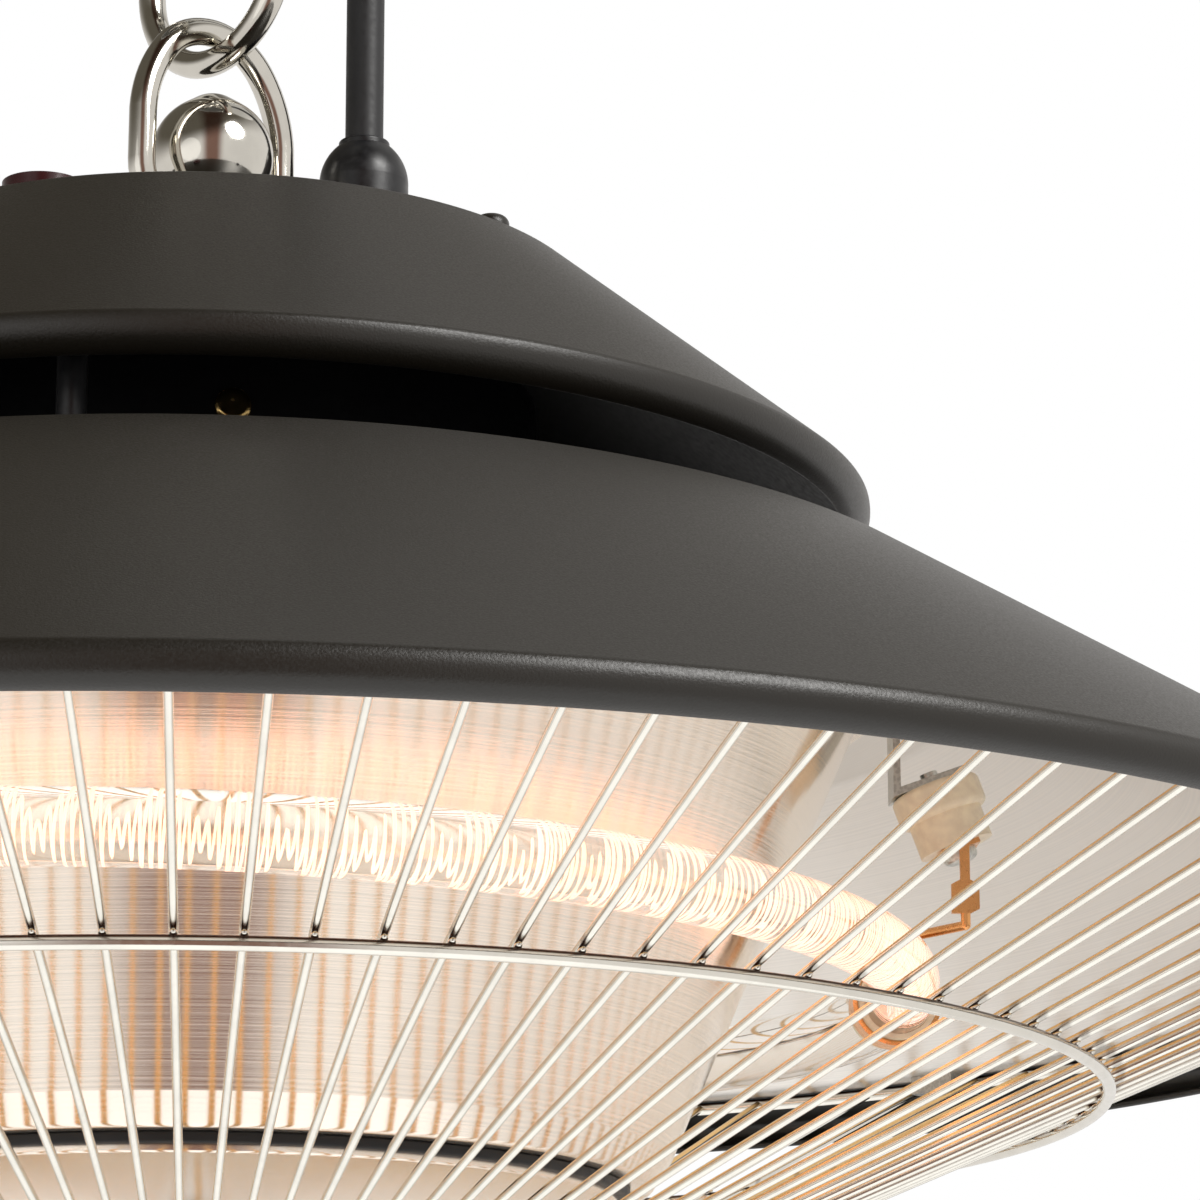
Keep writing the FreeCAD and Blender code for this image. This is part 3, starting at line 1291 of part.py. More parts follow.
def write_pieces():
    doc.recompute()
    for thing in doc.Objects:
        if "Invalid" in thing.State or "Error" in thing.State:
            raise RuntimeError(thing.Label + " did not build: " + ", ".join(thing.State))
    for piece in made:
        if piece.Shape.isNull() or not piece.Shape.isValid():
            raise RuntimeError(piece.Label + " has no valid shape")
    os.makedirs("parts", exist_ok=True)
    for piece in made:
        piece.Shape.exportStep("parts/" + piece.Label + ".step")
        print("%-22s %3d solids %10.1f mm3" % (piece.Label, len(piece.Shape.Solids), piece.Shape.Volume))
    print("%d pieces, ceiling %.1f mm above the rim" % (len(made), hang.value))


ceiling_pieces()
chain_pieces()
stud_pieces()
cap_pieces()
gland_pieces()
dome_pieces()
reflector_pieces()
lamp_pieces()
guard_pieces()
write_pieces()
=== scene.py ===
"""Dresses the hanging patio heater: shades, reflectors, ring lamp, wire guard, chain and mains cord."""

import math

import bmesh
import bpy
from bpy.props import FloatProperty, FloatVectorProperty, IntProperty, PointerProperty
from mathutils import Matrix, Vector


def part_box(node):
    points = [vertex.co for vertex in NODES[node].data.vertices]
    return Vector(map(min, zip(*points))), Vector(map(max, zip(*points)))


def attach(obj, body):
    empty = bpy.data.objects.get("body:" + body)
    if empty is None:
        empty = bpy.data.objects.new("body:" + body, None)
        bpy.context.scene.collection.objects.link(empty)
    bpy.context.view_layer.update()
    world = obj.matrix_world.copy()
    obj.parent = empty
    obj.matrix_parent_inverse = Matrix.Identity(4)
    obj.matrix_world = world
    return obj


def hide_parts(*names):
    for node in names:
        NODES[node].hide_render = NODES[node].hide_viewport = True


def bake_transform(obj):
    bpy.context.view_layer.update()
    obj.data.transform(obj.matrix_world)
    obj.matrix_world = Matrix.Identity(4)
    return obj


bl_info = {
    "name": "Hanging patio heater",
    "version": (1, 0, 0),
    "blender": (4, 5, 0),
    "location": "View3D > Sidebar > Heater",
    "description": "Builds the looks of a hanging patio heater round its packed solids",
    "category": "Object",
}

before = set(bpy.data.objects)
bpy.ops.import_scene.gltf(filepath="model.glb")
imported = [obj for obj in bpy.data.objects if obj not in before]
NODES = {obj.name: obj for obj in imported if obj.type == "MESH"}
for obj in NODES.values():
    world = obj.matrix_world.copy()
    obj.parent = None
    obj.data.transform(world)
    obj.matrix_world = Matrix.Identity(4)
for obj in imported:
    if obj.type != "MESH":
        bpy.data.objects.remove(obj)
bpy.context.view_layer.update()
MM = 0.001
# Heights below are in millimetres above the lower edge of the shade's rim.
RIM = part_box("lower_dome")[0].z
# The chain's pieces stand in two upright planes, and the ring's bar lies in the stud's cross hole.
CHAIN_TURN = math.radians(40)
BAR_UP = 130.5
# The top of the cap, and the hole that the stud's shank goes through.
CAP_TOP, SHANK_HOLE = 118.03, 4.05
# The guard's welded hoop and its spokes: radius, height and half of each wire's thickness.
HOOP_RADIUS, HOOP_UP, HOOP_HALF = 146.4, -18.4, 1.05
SPOKE_HALF, WELD_GAP = 0.68, 0.03


def length_property(name, description, default):
    return FloatProperty(name=name, description=description, default=default, unit="LENGTH")


def colour_property(name, description, default):
    return FloatVectorProperty(name=name, description=description, default=default, subtype="COLOR", size=3)


class HeaterSizes(bpy.types.PropertyGroup):
    """Sizes that the solids leave open, in metres."""

    steps: IntProperty(name="Steps", description="Faces round a turned shell", default=240, min=48)
    edge_soft: length_property("Edge", "Rounding of the shades' pressed edges", 0.0004)
    coil_wire: length_property("Coil wire", "Thickness of the heating wire", 0.00050)
    coil_pitch: length_property("Coil pitch", "Distance from turn to turn", 0.00134)
    coil_bulge: length_property("Bulge", "Length of one bulge of the twisted coil", 0.0112)


class HeaterColours(bpy.types.PropertyGroup):
    """Colours of the finishes."""

    shell: colour_property("Shades", "Powder coat", (0.0125, 0.0100, 0.0066))
    metal: colour_property("Plating", "Nickel-chrome", (0.80, 0.77, 0.70))
    # The cone's peach tint is partly painted light: the lamp's glow is painted into the aluminium's colour.
    cone: colour_property("Cone", "Aluminium near the lamp", (0.95, 0.86, 0.76))
    dish: colour_property("Dish", "Aluminium of the wide dish", (0.78, 0.74, 0.69))
    glow: colour_property("Glow", "Light of the heating wire", (1.0, 0.56, 0.38))
    glow_power: FloatProperty(name="Glow power", description="Strength of that light", default=2.1)


def sizes():
    return bpy.context.scene.heater_sizes


def colours():
    return bpy.context.scene.heater_colours


# Materials


def new_material(name, colour, **sockets):
    """A material with one Principled shader, and its nodes and links."""
    material = bpy.data.materials.new(name)
    material.use_nodes = True
    tree = material.node_tree
    shader = tree.nodes["Principled BSDF"]
    shader.inputs["Base Color"].default_value = (*colour, 1.0)
    for key, value in sockets.items():
        shader.inputs[key.replace("_", " ")].default_value = value
    material.diffuse_color = (*colour, 1.0)
    return material, tree, shader


def node(tree, kind, **settings):
    """A new node, with its sockets and settings given by name."""
    made = tree.nodes.new(kind)
    for key, value in settings.items():
        if key in made.inputs:
            made.inputs[key].default_value = value
        else:
            setattr(made, key, value)
    return made


def feed(tree, socket, value):
    """Links a socket to another one, or sets it to a plain value."""
    if isinstance(value, bpy.types.NodeSocket):
        tree.links.new(value, socket)
    else:
        socket.default_value = value


def maths(tree, operation, *values):
    made = node(tree, "ShaderNodeMath", operation=operation)
    for socket, value in zip(made.inputs, values):
        feed(tree, socket, value)
    return made.outputs["Value"]


def mapped(tree, source, spread, onto=(0.0, 1.0), shape="SMOOTHSTEP"):
    """A value, with one range of it mapped onto another."""
    made = node(tree, "ShaderNodeMapRange", interpolation_type=shape)
    made.inputs["From Min"].default_value, made.inputs["From Max"].default_value = spread
    made.inputs["To Min"].default_value, made.inputs["To Max"].default_value = onto
    tree.links.new(source, made.inputs["Value"])
    return made.outputs["Result"]


def blended(tree, amount, first, second, blend="MIX"):
    """A colour between two."""
    made = node(tree, "ShaderNodeMix", data_type="RGBA", blend_type=blend)
    feed(tree, made.inputs["Factor"], amount)
    feed(tree, made.inputs["A"], first)
    feed(tree, made.inputs["B"], second)
    return made.outputs["Result"]


def own_coordinates(tree):
    return node(tree, "ShaderNodeTexCoord").outputs["Object"]


def object_noise(tree, scale, detail):
    """Noise on the piece's own coordinates."""
    noise = node(tree, "ShaderNodeTexNoise", Scale=scale, Detail=detail)
    tree.links.new(own_coordinates(tree), noise.inputs["Vector"])
    return noise.outputs["Fac"]


# Most of a noise lies in the first range, and the two tones of a tint meet in the second.
NOISE_RANGE, TINT_RANGE = (0.3, 0.7), (0.35, 0.65)


def vary(tree, shader, source, socket, low, high):
    """Spreads a noise over a range of a shader's value."""
    tree.links.new(mapped(tree, source, NOISE_RANGE, (low, high), "LINEAR"), shader.inputs[socket])


def tint(tree, shader, source, dark, light):
    """Colours that a noise moves between."""
    ramp = node(tree, "ShaderNodeValToRGB")
    for stop, place, colour in zip(ramp.color_ramp.elements, TINT_RANGE, (dark, light)):
        stop.position = place
        stop.color = (*colour, 1.0)
    tree.links.new(source, ramp.inputs["Fac"])
    tree.links.new(ramp.outputs["Color"], shader.inputs["Base Color"])


def dent(tree, shader, source, strength, depth):
    """Fine relief that follows a noise."""
    bump = node(tree, "ShaderNodeBump", Strength=strength, Distance=depth)
    tree.links.new(source, bump.inputs["Height"])
    tree.links.new(bump.outputs["Normal"], shader.inputs["Normal"])


def shade(colour, factor):
    return tuple(min(1.0, c * factor) for c in colour)


def powder_coat():
    colour = tuple(colours().shell)
    material, tree, shader = new_material("bronze_powder_coat", colour)
    blotch = object_noise(tree, scale=9.0, detail=3.0)
    tint(tree, shader, blotch, shade(colour, 0.94), shade(colour, 1.06))
    grain = object_noise(tree, scale=2800.0, detail=2.0)
    vary(tree, shader, grain, "Roughness", 0.30, 0.44)
    dent(tree, shader, grain, strength=0.30, depth=0.00012)
    return material


def black_paint():
    material, tree, shader = new_material("black_stove_paint", (0.008, 0.008, 0.009))
    grain = object_noise(tree, scale=900.0, detail=3.0)
    vary(tree, shader, grain, "Roughness", 0.28, 0.42)
    dent(tree, shader, grain, strength=0.08, depth=0.0002)
    return material


def plating_nodes(name, colour, rough):
    """Bright plating, slightly clouded, with its nodes for further work."""
    material, tree, shader = new_material(name, colour, Metallic=1.0)
    cloud = object_noise(tree, scale=160.0, detail=3.0)
    tint(tree, shader, cloud, shade(colour, 0.95), shade(colour, 1.03))
    fine = object_noise(tree, scale=700.0, detail=2.0)
    vary(tree, shader, fine, "Roughness", rough * 0.7, rough * 1.4)
    return material, tree, shader


def plating(name, colour, rough):
    return plating_nodes(name, colour, rough)[0]


def zinc_plate():
    colour = (0.56, 0.56, 0.53)
    material, tree, shader = new_material("zinc_plate", colour, Metallic=1.0)
    crystal = node(tree, "ShaderNodeTexVoronoi", Scale=1600.0)
    tree.links.new(own_coordinates(tree), crystal.inputs["Vector"])
    tint(tree, shader, crystal.outputs["Distance"], shade(colour, 0.85), shade(colour, 1.1))
    vary(tree, shader, crystal.outputs["Distance"], "Roughness", 0.28, 0.42)
    return material


def axis_distance(tree):
    """Distance of a place from the heater's axis."""
    flat = node(tree, "ShaderNodeVectorMath", operation="MULTIPLY")
    flat.inputs[1].default_value = (1.0, 1.0, 0.0)
    length = node(tree, "ShaderNodeVectorMath", operation="LENGTH")
    tree.links.new(own_coordinates(tree), flat.inputs[0])
    tree.links.new(flat.outputs["Vector"], length.inputs[0])
    return length.outputs["Value"]


# Dark brown is used for the painted dark reflection along the hoop's top and for the marks at the welds. Gold
# is the painted reflection of the lamp's glow on the spokes' upper side.
DARK_BROWN, LAMPLIT_GOLD = (0.045, 0.018, 0.008, 1.0), (0.93, 0.62, 0.27, 1.0)
GUARD_ROUGH, GUARD_BRIGHT = 0.16, 0.98


def tint_where(tree, shader, amount, colour):
    """Lets a metal take on a second colour where a value reaches one."""
    plain = shader.inputs["Base Color"].links[0].from_socket
    tree.links.new(blended(tree, amount, plain, colour), shader.inputs["Base Color"])


def upward(tree, low, high):
    """How far a face looks up, from none at the first share to all at the second."""
    facing = node(tree, "ShaderNodeNewGeometry")
    split = node(tree, "ShaderNodeSeparateXYZ")
    tree.links.new(facing.outputs["Normal"], split.inputs["Vector"])
    return mapped(tree, split.outputs["Z"], (low, high))


def guard_nodes(name):
    return plating_nodes(name, shade(tuple(colours().metal), GUARD_BRIGHT), GUARD_ROUGH)


def guard_hoop_plating():
    """Plated wire with a painted dark reflection along its upper side."""
    material, tree, shader = guard_nodes("guard_hoop_plating")
    # Painted reflection: the hoop's upward faces are darkened to dark brown.
    tint_where(tree, shader, upward(tree, 0.30, 0.62), DARK_BROWN)
    return material


def guard_spoke_plating():
    """Plated wire with a painted gold reflection of the lamp's glow on its upper side, and a dark mark at
    each weld just outside the hoop.
    """
    mark_radius, mark_core, mark_edge, mark_depth = (HOOP_RADIUS + 1.8) * MM, 0.0003, 0.0012, 0.4
    material, tree, shader = guard_nodes("guard_spoke_plating")
    # Painted reflection: the spokes' upward faces turn gold, standing in for the glowing lamp above them.
    tint_where(tree, shader, upward(tree, 0.0, 0.5), LAMPLIT_GOLD)
    # A dark mark at each weld, just outside the hoop.
    away = maths(tree, "ABSOLUTE", maths(tree, "SUBTRACT", axis_distance(tree), mark_radius))
    tint_where(tree, shader, mapped(tree, away, (mark_core, mark_edge), (mark_depth, 0.0)), DARK_BROWN)
    return material


def spun_aluminium(name, colour, rough, streak, along, relief):
    """Aluminium turned on a lathe: fine rings round its axis, which spread reflections across them."""
    material, tree, shader = new_material(name, colour, Metallic=1.0, Anisotropic=streak)
    shader.inputs["Anisotropic Rotation"].default_value = 0.25
    tangent = node(tree, "ShaderNodeTangent", direction_type="RADIAL", axis="Z")
    tree.links.new(tangent.outputs["Tangent"], shader.inputs["Tangent"])
    rings = node(tree, "ShaderNodeTexNoise", noise_dimensions="1D", Scale=2600.0, Detail=3.0)
    if along == "height":
        split = node(tree, "ShaderNodeSeparateXYZ")
        tree.links.new(own_coordinates(tree), split.inputs["Vector"])
        tree.links.new(split.outputs["Z"], rings.inputs["W"])
    else:
        tree.links.new(axis_distance(tree), rings.inputs["W"])
    tint(tree, shader, rings.outputs["Fac"], shade(colour, 0.93), shade(colour, 1.02))
    vary(tree, shader, rings.outputs["Fac"], "Roughness", rough * 0.8, rough * 1.25)
    dent(tree, shader, rings.outputs["Fac"], relief, depth=0.00012)
    return material


def quartz_glass():
    """Clear tube wall. Light from the wire inside passes straight through to the reflectors."""
    colour = (1.0, 0.98, 0.95)
    material, tree, shader = new_material("quartz_glass", colour, IOR=1.46, Transmission_Weight=1.0)
    haze = object_noise(tree, scale=240.0, detail=2.0)
    vary(tree, shader, haze, "Roughness", 0.01, 0.06)
    clear = node(tree, "ShaderNodeBsdfTransparent", Color=(1.0, 0.97, 0.92, 1.0))
    mix = node(tree, "ShaderNodeMixShader")
    path = node(tree, "ShaderNodeLightPath")
    out = tree.nodes["Material Output"]
    tree.links.new(path.outputs["Is Shadow Ray"], mix.inputs["Fac"])
    tree.links.new(shader.outputs["BSDF"], mix.inputs[1])
    tree.links.new(clear.outputs["BSDF"], mix.inputs[2])
    tree.links.new(mix.outputs["Shader"], out.inputs["Surface"])
    return material


def glowing_wire():
    """Hot wire, a little cooler in some places than in others."""
    red, green, blue = colours().glow
    material, tree, shader = new_material("glowing_wire", (0.35, 0.16, 0.06), Roughness=0.6)
    shader.inputs["Emission Strength"].default_value = colours().glow_power
    ramp = node(tree, "ShaderNodeValToRGB")
    ramp.color_ramp.elements[0].color = (*shade((red, green, blue), 0.85), 1.0)
    ramp.color_ramp.elements[1].color = (1.0, green * 1.15, blue * 1.4, 1.0)
    tree.links.new(object_noise(tree, scale=90.0, detail=1.0), ramp.inputs["Fac"])
    tree.links.new(ramp.outputs["Color"], shader.inputs["Emission Color"])
    return material


def steatite():
    # Pale ceramic. Its colour is made warmer and lighter to stand in for the lamp's orange light on it, so it
    # is partly painted light.
    colour = (0.97, 0.83, 0.62)
    material, tree, shader = new_material("ivory_ceramic", colour)
    speck = object_noise(tree, scale=500.0, detail=4.0)
    tint(tree, shader, speck, shade(colour, 0.9), shade(colour, 1.06))
    vary(tree, shader, speck, "Roughness", 0.32, 0.5)
    dent(tree, shader, speck, strength=0.08, depth=0.0002)
    return material


def moulded(name, colour, low, high, grain_size):
    """Moulded plastic or rubber with a fine grain."""
    material, tree, shader = new_material(name, colour)
    grain = object_noise(tree, grain_size, detail=3.0)
    tint(tree, shader, grain, shade(colour, 0.85), shade(colour, 1.2))
    vary(tree, shader, grain, "Roughness", low, high)
    dent(tree, shader, grain, strength=0.1, depth=0.0002)
    return material


def finish(name):
    """The finish of that name, made once. No finish has the name of one of the frame's slots."""
    found = bpy.data.materials.get(name)
    if found:
        return found
    metal, cone, dish = tuple(colours().metal), tuple(colours().cone), tuple(colours().dish)
    makers = {
        "bronze_powder_coat": powder_coat,
        "black_stove_paint": black_paint,
        "nickel_chrome": lambda: plating("nickel_chrome", shade(metal, 0.82), 0.09),
        "guard_plating": lambda: guard_nodes("guard_plating")[0],
        "guard_hoop_plating": guard_hoop_plating,
        "guard_spoke_plating": guard_spoke_plating,
        "zinc_plate": zinc_plate,
        "gold_passivate": lambda: plating("gold_passivate", (0.72, 0.50, 0.20), 0.22),
        "copper_strip": lambda: plating("copper_strip", (0.80, 0.40, 0.16), 0.24),
        # The cone and the cover both take the cone colour, which carries the painted lamp glow.
        "spun_cone": lambda: spun_aluminium("spun_cone", cone, 0.17, 1.0, "height", 0.15),
        "spun_dish": lambda: spun_aluminium("spun_dish", dish, 0.36, 0.4, "radius", 0.02),
        "spun_cover": lambda: spun_aluminium("spun_cover", cone, 0.20, 0.9, "radius", 0.10),
        "quartz_glass": quartz_glass,
        "glowing_wire": glowing_wire,
        "ivory_ceramic": steatite,
        "black_nylon": lambda: moulded("black_nylon", (0.006, 0.006, 0.007), 0.28, 0.42, 700.0),
        "soft_rubber": lambda: moulded("soft_rubber", (0.010, 0.010, 0.011), 0.42, 0.58, 900.0),
        "lens_plastic": lambda: moulded("lens_plastic", (0.034, 0.004, 0.005), 0.16, 0.26, 300.0),
    }
    return makers[name]()


# Modelling


def at(across, up, along=0.0):
    """A place in the frame, from millimetres about the axis and above the rim."""
    return Vector((across * MM, along * MM, RIM + up * MM))


def arc(across, up, radius, first, last, count):
    """Places on an arc, in millimetres and degrees."""
    out = []
    for k in range(count + 1):
        angle = math.radians(first + (last - first) * k / count)
        out.append((across + radius * math.cos(angle), up + radius * math.sin(angle)))
    return out


def rounded(*corners):
    """An outline through corners of (across, up), or (across, up, radius) where the corner is round."""
    out = []
    for before, corner, after in zip(corners[-1:] + corners[:-1], corners, corners[1:] + corners[:1]):
        place = Vector(corner[:2])
        if len(corner) == 2:
            out.append(tuple(place))
            continue
        back = (Vector(before[:2]) - place).normalized()
        on = (Vector(after[:2]) - place).normalized()
        bend = math.pi - back.angle(on)
        middle = place + (back + on).normalized() * (corner[2] / math.cos(bend / 2))
        first = place + back * corner[2] * math.tan(bend / 2) - middle
        side = 1 if back.x * on.y - back.y * on.x < 0 else -1
        heading = math.degrees(math.atan2(first.y, first.x))
        out += arc(middle.x, middle.y, corner[2], heading, heading + side * math.degrees(bend), 8)
    return out


def begin(name):
    """Names the piece that was just added, fixes its place in its mesh and enters edit mode."""
    piece = bpy.context.object
    piece.name = name
    piece.data.name = name
    bpy.ops.object.transform_apply(location=True, rotation=True, scale=True)
    bpy.ops.object.mode_set(mode="EDIT")
    return piece


def begin_at(name, place):
    """A piece that begins as one point, left in edit mode."""
    bpy.ops.object.select_all(action="DESELECT")
    bpy.ops.mesh.primitive_plane_add(size=MM, location=place)
    piece = begin(name)
    bpy.ops.mesh.select_all(action="SELECT")
    bpy.ops.mesh.merge(type="CENTER")
    return piece


def close_up(piece, angle=32.0):
    """Merges seams, turns faces outward, leaves edit mode and smooths."""
    bpy.ops.mesh.select_all(action="SELECT")
    bpy.ops.mesh.remove_doubles(threshold=1e-6)
    bpy.ops.mesh.normals_make_consistent(inside=False)
    bpy.ops.object.mode_set(mode="OBJECT")
    bpy.ops.object.shade_smooth_by_angle(angle=math.radians(angle))
    return piece


def soften(piece, share=1.0):
    """Rounds the sharp edges of a piece by a share of the shades' rounding."""
    rounding = piece.modifiers.new("soft_edges", "BEVEL")
    rounding.width = sizes().edge_soft * share
    rounding.segments = 3
    rounding.limit_method = "ANGLE"
    rounding.angle_limit = math.radians(28.0)
    bpy.context.view_layer.objects.active = piece
    bpy.ops.object.modifier_apply(modifier=rounding.name)
    return piece


def turned(name, profile, steps=None, x=0.0, y=0.0):
    """A solid of revolution: the closed profile is drawn point by point and spun about an upright axis."""
    spots = [at(across + x, up, y) for across, up in profile]
    piece = begin_at(name, spots[0])
    for before, after in zip(spots, spots[1:]):
        bpy.ops.mesh.extrude_region_move(TRANSFORM_OT_translate={"value": after - before})
    bpy.ops.mesh.select_all(action="SELECT")
    mesh = bmesh.from_edit_mesh(piece.data)
    mesh.verts.ensure_lookup_table()
    for vertex in mesh.verts:
        vertex.select = vertex.index in (0, len(spots) - 1)
    mesh.select_flush_mode()
    bmesh.update_edit_mesh(piece.data)
    bpy.ops.mesh.edge_face_add()
    bpy.ops.mesh.select_all(action="SELECT")
    bpy.ops.mesh.spin(
        steps=steps or sizes().steps, angle=math.tau, center=(x * MM, y * MM, 0), axis=(0, 0, 1)
    )
    return close_up(piece)


def swept(name, places, thickness, closed, sides):
    """A wire along places."""
    curve = bpy.data.curves.new(name, "CURVE")
    curve.dimensions = "3D"
    curve.bevel_depth = thickness / 2
    curve.bevel_resolution = sides
    curve.use_fill_caps = not closed
    spline = curve.splines.new("POLY")
    spline.points.add(len(places) - 1)
    for point, place in zip(spline.points, places):
        point.co = (*place, 1.0)
    spline.use_cyclic_u = closed
    piece = bpy.data.objects.new(name, curve)
    bpy.context.scene.collection.objects.link(piece)
    bpy.ops.object.select_all(action="DESELECT")
    piece.select_set(True)
    bpy.context.view_layer.objects.active = piece
    bpy.ops.object.convert(target="MESH")
    piece = bpy.context.object
    bpy.ops.object.mode_set(mode="EDIT")
    return close_up(piece, 50.0)


def dress(piece, material, body, slot, *nodes):
    """Gives a new piece its finish, the body that it moves with and the solids that it stands for."""
    piece.data.materials.clear()
    piece.data.materials.append(finish(material))
    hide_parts(*nodes)
    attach(piece, body)


def coat(material, *nodes):
    """Gives solids of the frame a finish."""
    for name in nodes:
        piece = NODES[name]
        if not piece.material_slots:
            piece.data.materials.append(None)
        for place in piece.material_slots:
            place.material = finish(material)


class HeaterOperator(bpy.types.Operator):
    """What the makers of the pieces share."""

    bl_idname = "heater.base"
    bl_label = "Heater piece"
    bl_options = {"REGISTER", "UNDO"}

    def execute(self, context):
        self.build()
        return {"FINISHED"}


class HEATER_OT_shades(HeaterOperator):
    """Spins the upper cap and the lower shade with their rolled rims"""

    bl_idname = "heater.shades"
    bl_label = "Shades"

    sheet = 1.2

    def build(self):
        self.cap()
        self.dome()

    def cap(self):
        """The upper cap, with black paint on its underside that also stands in for the shade in the gap under
        it.
        """
        shoulder, shoulder_round, slope = 62.23, 2.6, 0.81
        bead, bead_up, bead_round, curl = 105.9, 78.8, 4.368, 15.95
        black_above, black_facing = 80.0, -0.4
        lean = 90 - math.degrees(math.atan(slope))
        profile = (
            [(SHANK_HOLE, CAP_TOP)]
            + arc(shoulder, CAP_TOP - shoulder_round, shoulder_round, 90, lean, 8)
            + arc(bead, bead_up, bead_round, curl, -90, 14)
            + arc(bead, bead_up, bead_round - self.sheet, -90, curl, 10)
            + arc(shoulder, CAP_TOP - shoulder_round, shoulder_round - self.sheet, lean, 90, 6)
            + [(SHANK_HOLE, CAP_TOP - self.sheet)]
        )
        piece = soften(turned("cap_shell", profile))
        dress(piece, "bronze_powder_coat", "heater", "shell", "top_cap")
        piece.data.materials.append(finish("black_stove_paint"))
        # Downward faces above the lower shade take black paint. This is partly painted shade of the gap under
        # the cap.
        for face in piece.data.polygons:
            if face.normal.z < black_facing and face.center.z > RIM + black_above * MM:
                face.material_index = 1

    def dome(self):
        """The wide lower shade."""
        hole, top = 20.0, 60.1
        shoulder, shoulder_round, shoulder_lean, inner_shoulder = 124.1, 1.5, 58.4, 123.85
        bead, bead_round, curl = 209.4, 3.767, 34.62
        profile = (
            [(hole, top)]
            + arc(shoulder, top - shoulder_round, shoulder_round, 90, shoulder_lean, 4)
            + arc(bead, bead_round, bead_round, curl, -90, 14)
            + arc(bead, bead_round, bead_round - self.sheet, -90, curl, 10)
            + [(inner_shoulder, top - self.sheet), (hole, top - self.sheet)]
        )
        piece = soften(turned("shade_shell", profile))
        dress(piece, "bronze_powder_coat", "heater", "shell", "lower_dome")


class HEATER_OT_housing(HeaterOperator):
    """Spins the black wiring box in the gap between the shades"""

    bl_idname = "heater.housing"
    bl_label = "Wiring box"

    def build(self):
        wall, faces = 1.0, 160
        inside, flange, base_low, base_top = 53.0, 66.0, 60.1, 86.6
        outside = inside + wall
        base = [
            (inside, base_low), (flange, base_low), (flange, base_low + wall),
            (outside, base_low + wall), (outside, base_top), (inside, base_top),
        ]
        lid_inside, lid_low, lid_top, lid_round = 54.05, 75.5, 100.0, 3.0
        corner, corner_up = lid_inside + wall - lid_round, lid_top - lid_round
        lid = (
            [(SHANK_HOLE, lid_top)]
            + arc(corner, corner_up, lid_round, 90, 0, 6)
            + [(lid_inside + wall, lid_low), (lid_inside, lid_low)]
            + arc(corner, corner_up, lid_round - wall, 0, 90, 6)
            + [(SHANK_HOLE, lid_top - wall)]
        )
        for name, profile, solid in (("box_base", base, "housing_base"), ("box_lid", lid, "housing_lid")):
            piece = soften(turned(name, profile, faces), 0.5)
            dress(piece, "black_stove_paint", "heater", "black_steel", solid)
        coat("black_stove_paint", "cap_posts")
        coat("gold_passivate", "housing_side_screws")


class HEATER_OT_reflectors(HeaterOperator):
    """Spins the bright dish, the central cone and its closed bottom"""

    bl_idname = "heater.reflectors"
    bl_label = "Reflectors"

    roof, wall = 49.0, 0.8
    cone_bottom = -32.2
    faces = 300

    def build(self):
        self.dish()
        self.cone()
        self.bottom()

    def dish(self):
        """The wide dish above the lamp: a flat roof, a slope and a flange."""
        flange, knee, flange_up, brow, bore, bend = 203.4, 195.5, 9.0, 127.965, 95.965, 6.0
        lean = math.atan2(self.roof - flange_up, knee - brow)
        shift = self.wall * math.tan(lean / 2)
        profile = rounded(
            (flange, flange_up),
            (knee, flange_up, bend),
            (brow, self.roof, bend),
            (bore, self.roof),
            (bore, self.roof + self.wall),
            (brow + shift, self.roof + self.wall, bend + self.wall),
            (knee + shift, flange_up + self.wall, bend - self.wall),
            (flange, flange_up + self.wall),
        )
        dress(turned("dish", profile, self.faces), "spun_dish", "heater", "aluminium", "reflector_dish")

    def cone(self):
        """The central cone, with a lip under the roof and a ledge that turns in to the cover."""
        foot_radius, slope, ledge, drop = 76.9, 0.43, 3.3, 4.9
        lip, cover_hole, smooth_below = 3.6, 69.3, 9.0
        roof, wall, bottom = self.roof, self.wall, self.cone_bottom
        under, foot, turn_in = roof - wall, bottom + drop, ledge / drop
        inset = wall * math.sqrt(1 + slope**2)
        ledge_inset = wall * math.sqrt(1 + turn_in**2)
        knee = foot + (ledge_inset - inset) / (turn_in - slope)

        def face(height):
            return foot_radius + slope * (height - foot)

        profile = rounded(
            (face(under) + lip, under),
            (face(under), under, 0.4),
            (face(foot), foot),
            (face(foot) - ledge, bottom, 1.5),
            (cover_hole, bottom),
            (cover_hole, bottom + wall),
            (face(foot) - turn_in * (drop - wall) - ledge_inset, bottom + wall, 0.7),
            (face(knee) - inset, knee),
            (face(roof) - inset, roof),
            (face(under) + lip, roof),
        )
        piece = turned("central_cone", profile, self.faces)
        bpy.ops.object.shade_smooth_by_angle(angle=math.radians(smooth_below))
        dress(piece, "spun_cone", "heater", "aluminium", "reflector_cone")

    def bottom(self):
        """The cover that closes the cone, and the seal between them."""
        top, seal_inside, seal_outside, seal_thick, seal_edge = self.cone_bottom, 62.0, 70.2, 1.75, 0.5
        seal_low, seal_round = top - seal_thick, seal_outside - seal_edge
        seal = (
            [(seal_inside, seal_low)]
            + arc(seal_round, seal_low + seal_edge, seal_edge, -90, 0, 4)
            + arc(seal_round, top - seal_edge, seal_edge, 0, 90, 4)
            + [(seal_inside, top)]
        )
        dress(turned("cover_seal", seal), "soft_rubber", "heater", "black_rubber", "cover_gasket")
        screw_hole, cover_radius, cover_thick, cover_edge = 2.05, 68.4, 1.2, 0.6
        cover_low = seal_low - cover_thick
        cover = (
            [(screw_hole, cover_low)]
            + arc(cover_radius - cover_edge, cover_low + cover_edge, cover_edge, -90, 0, 6)
            + [(cover_radius, seal_low), (screw_hole, seal_low)]
        )
        dress(turned("cover_plate", cover), "spun_cover", "heater", "aluminium", "bottom_cover")


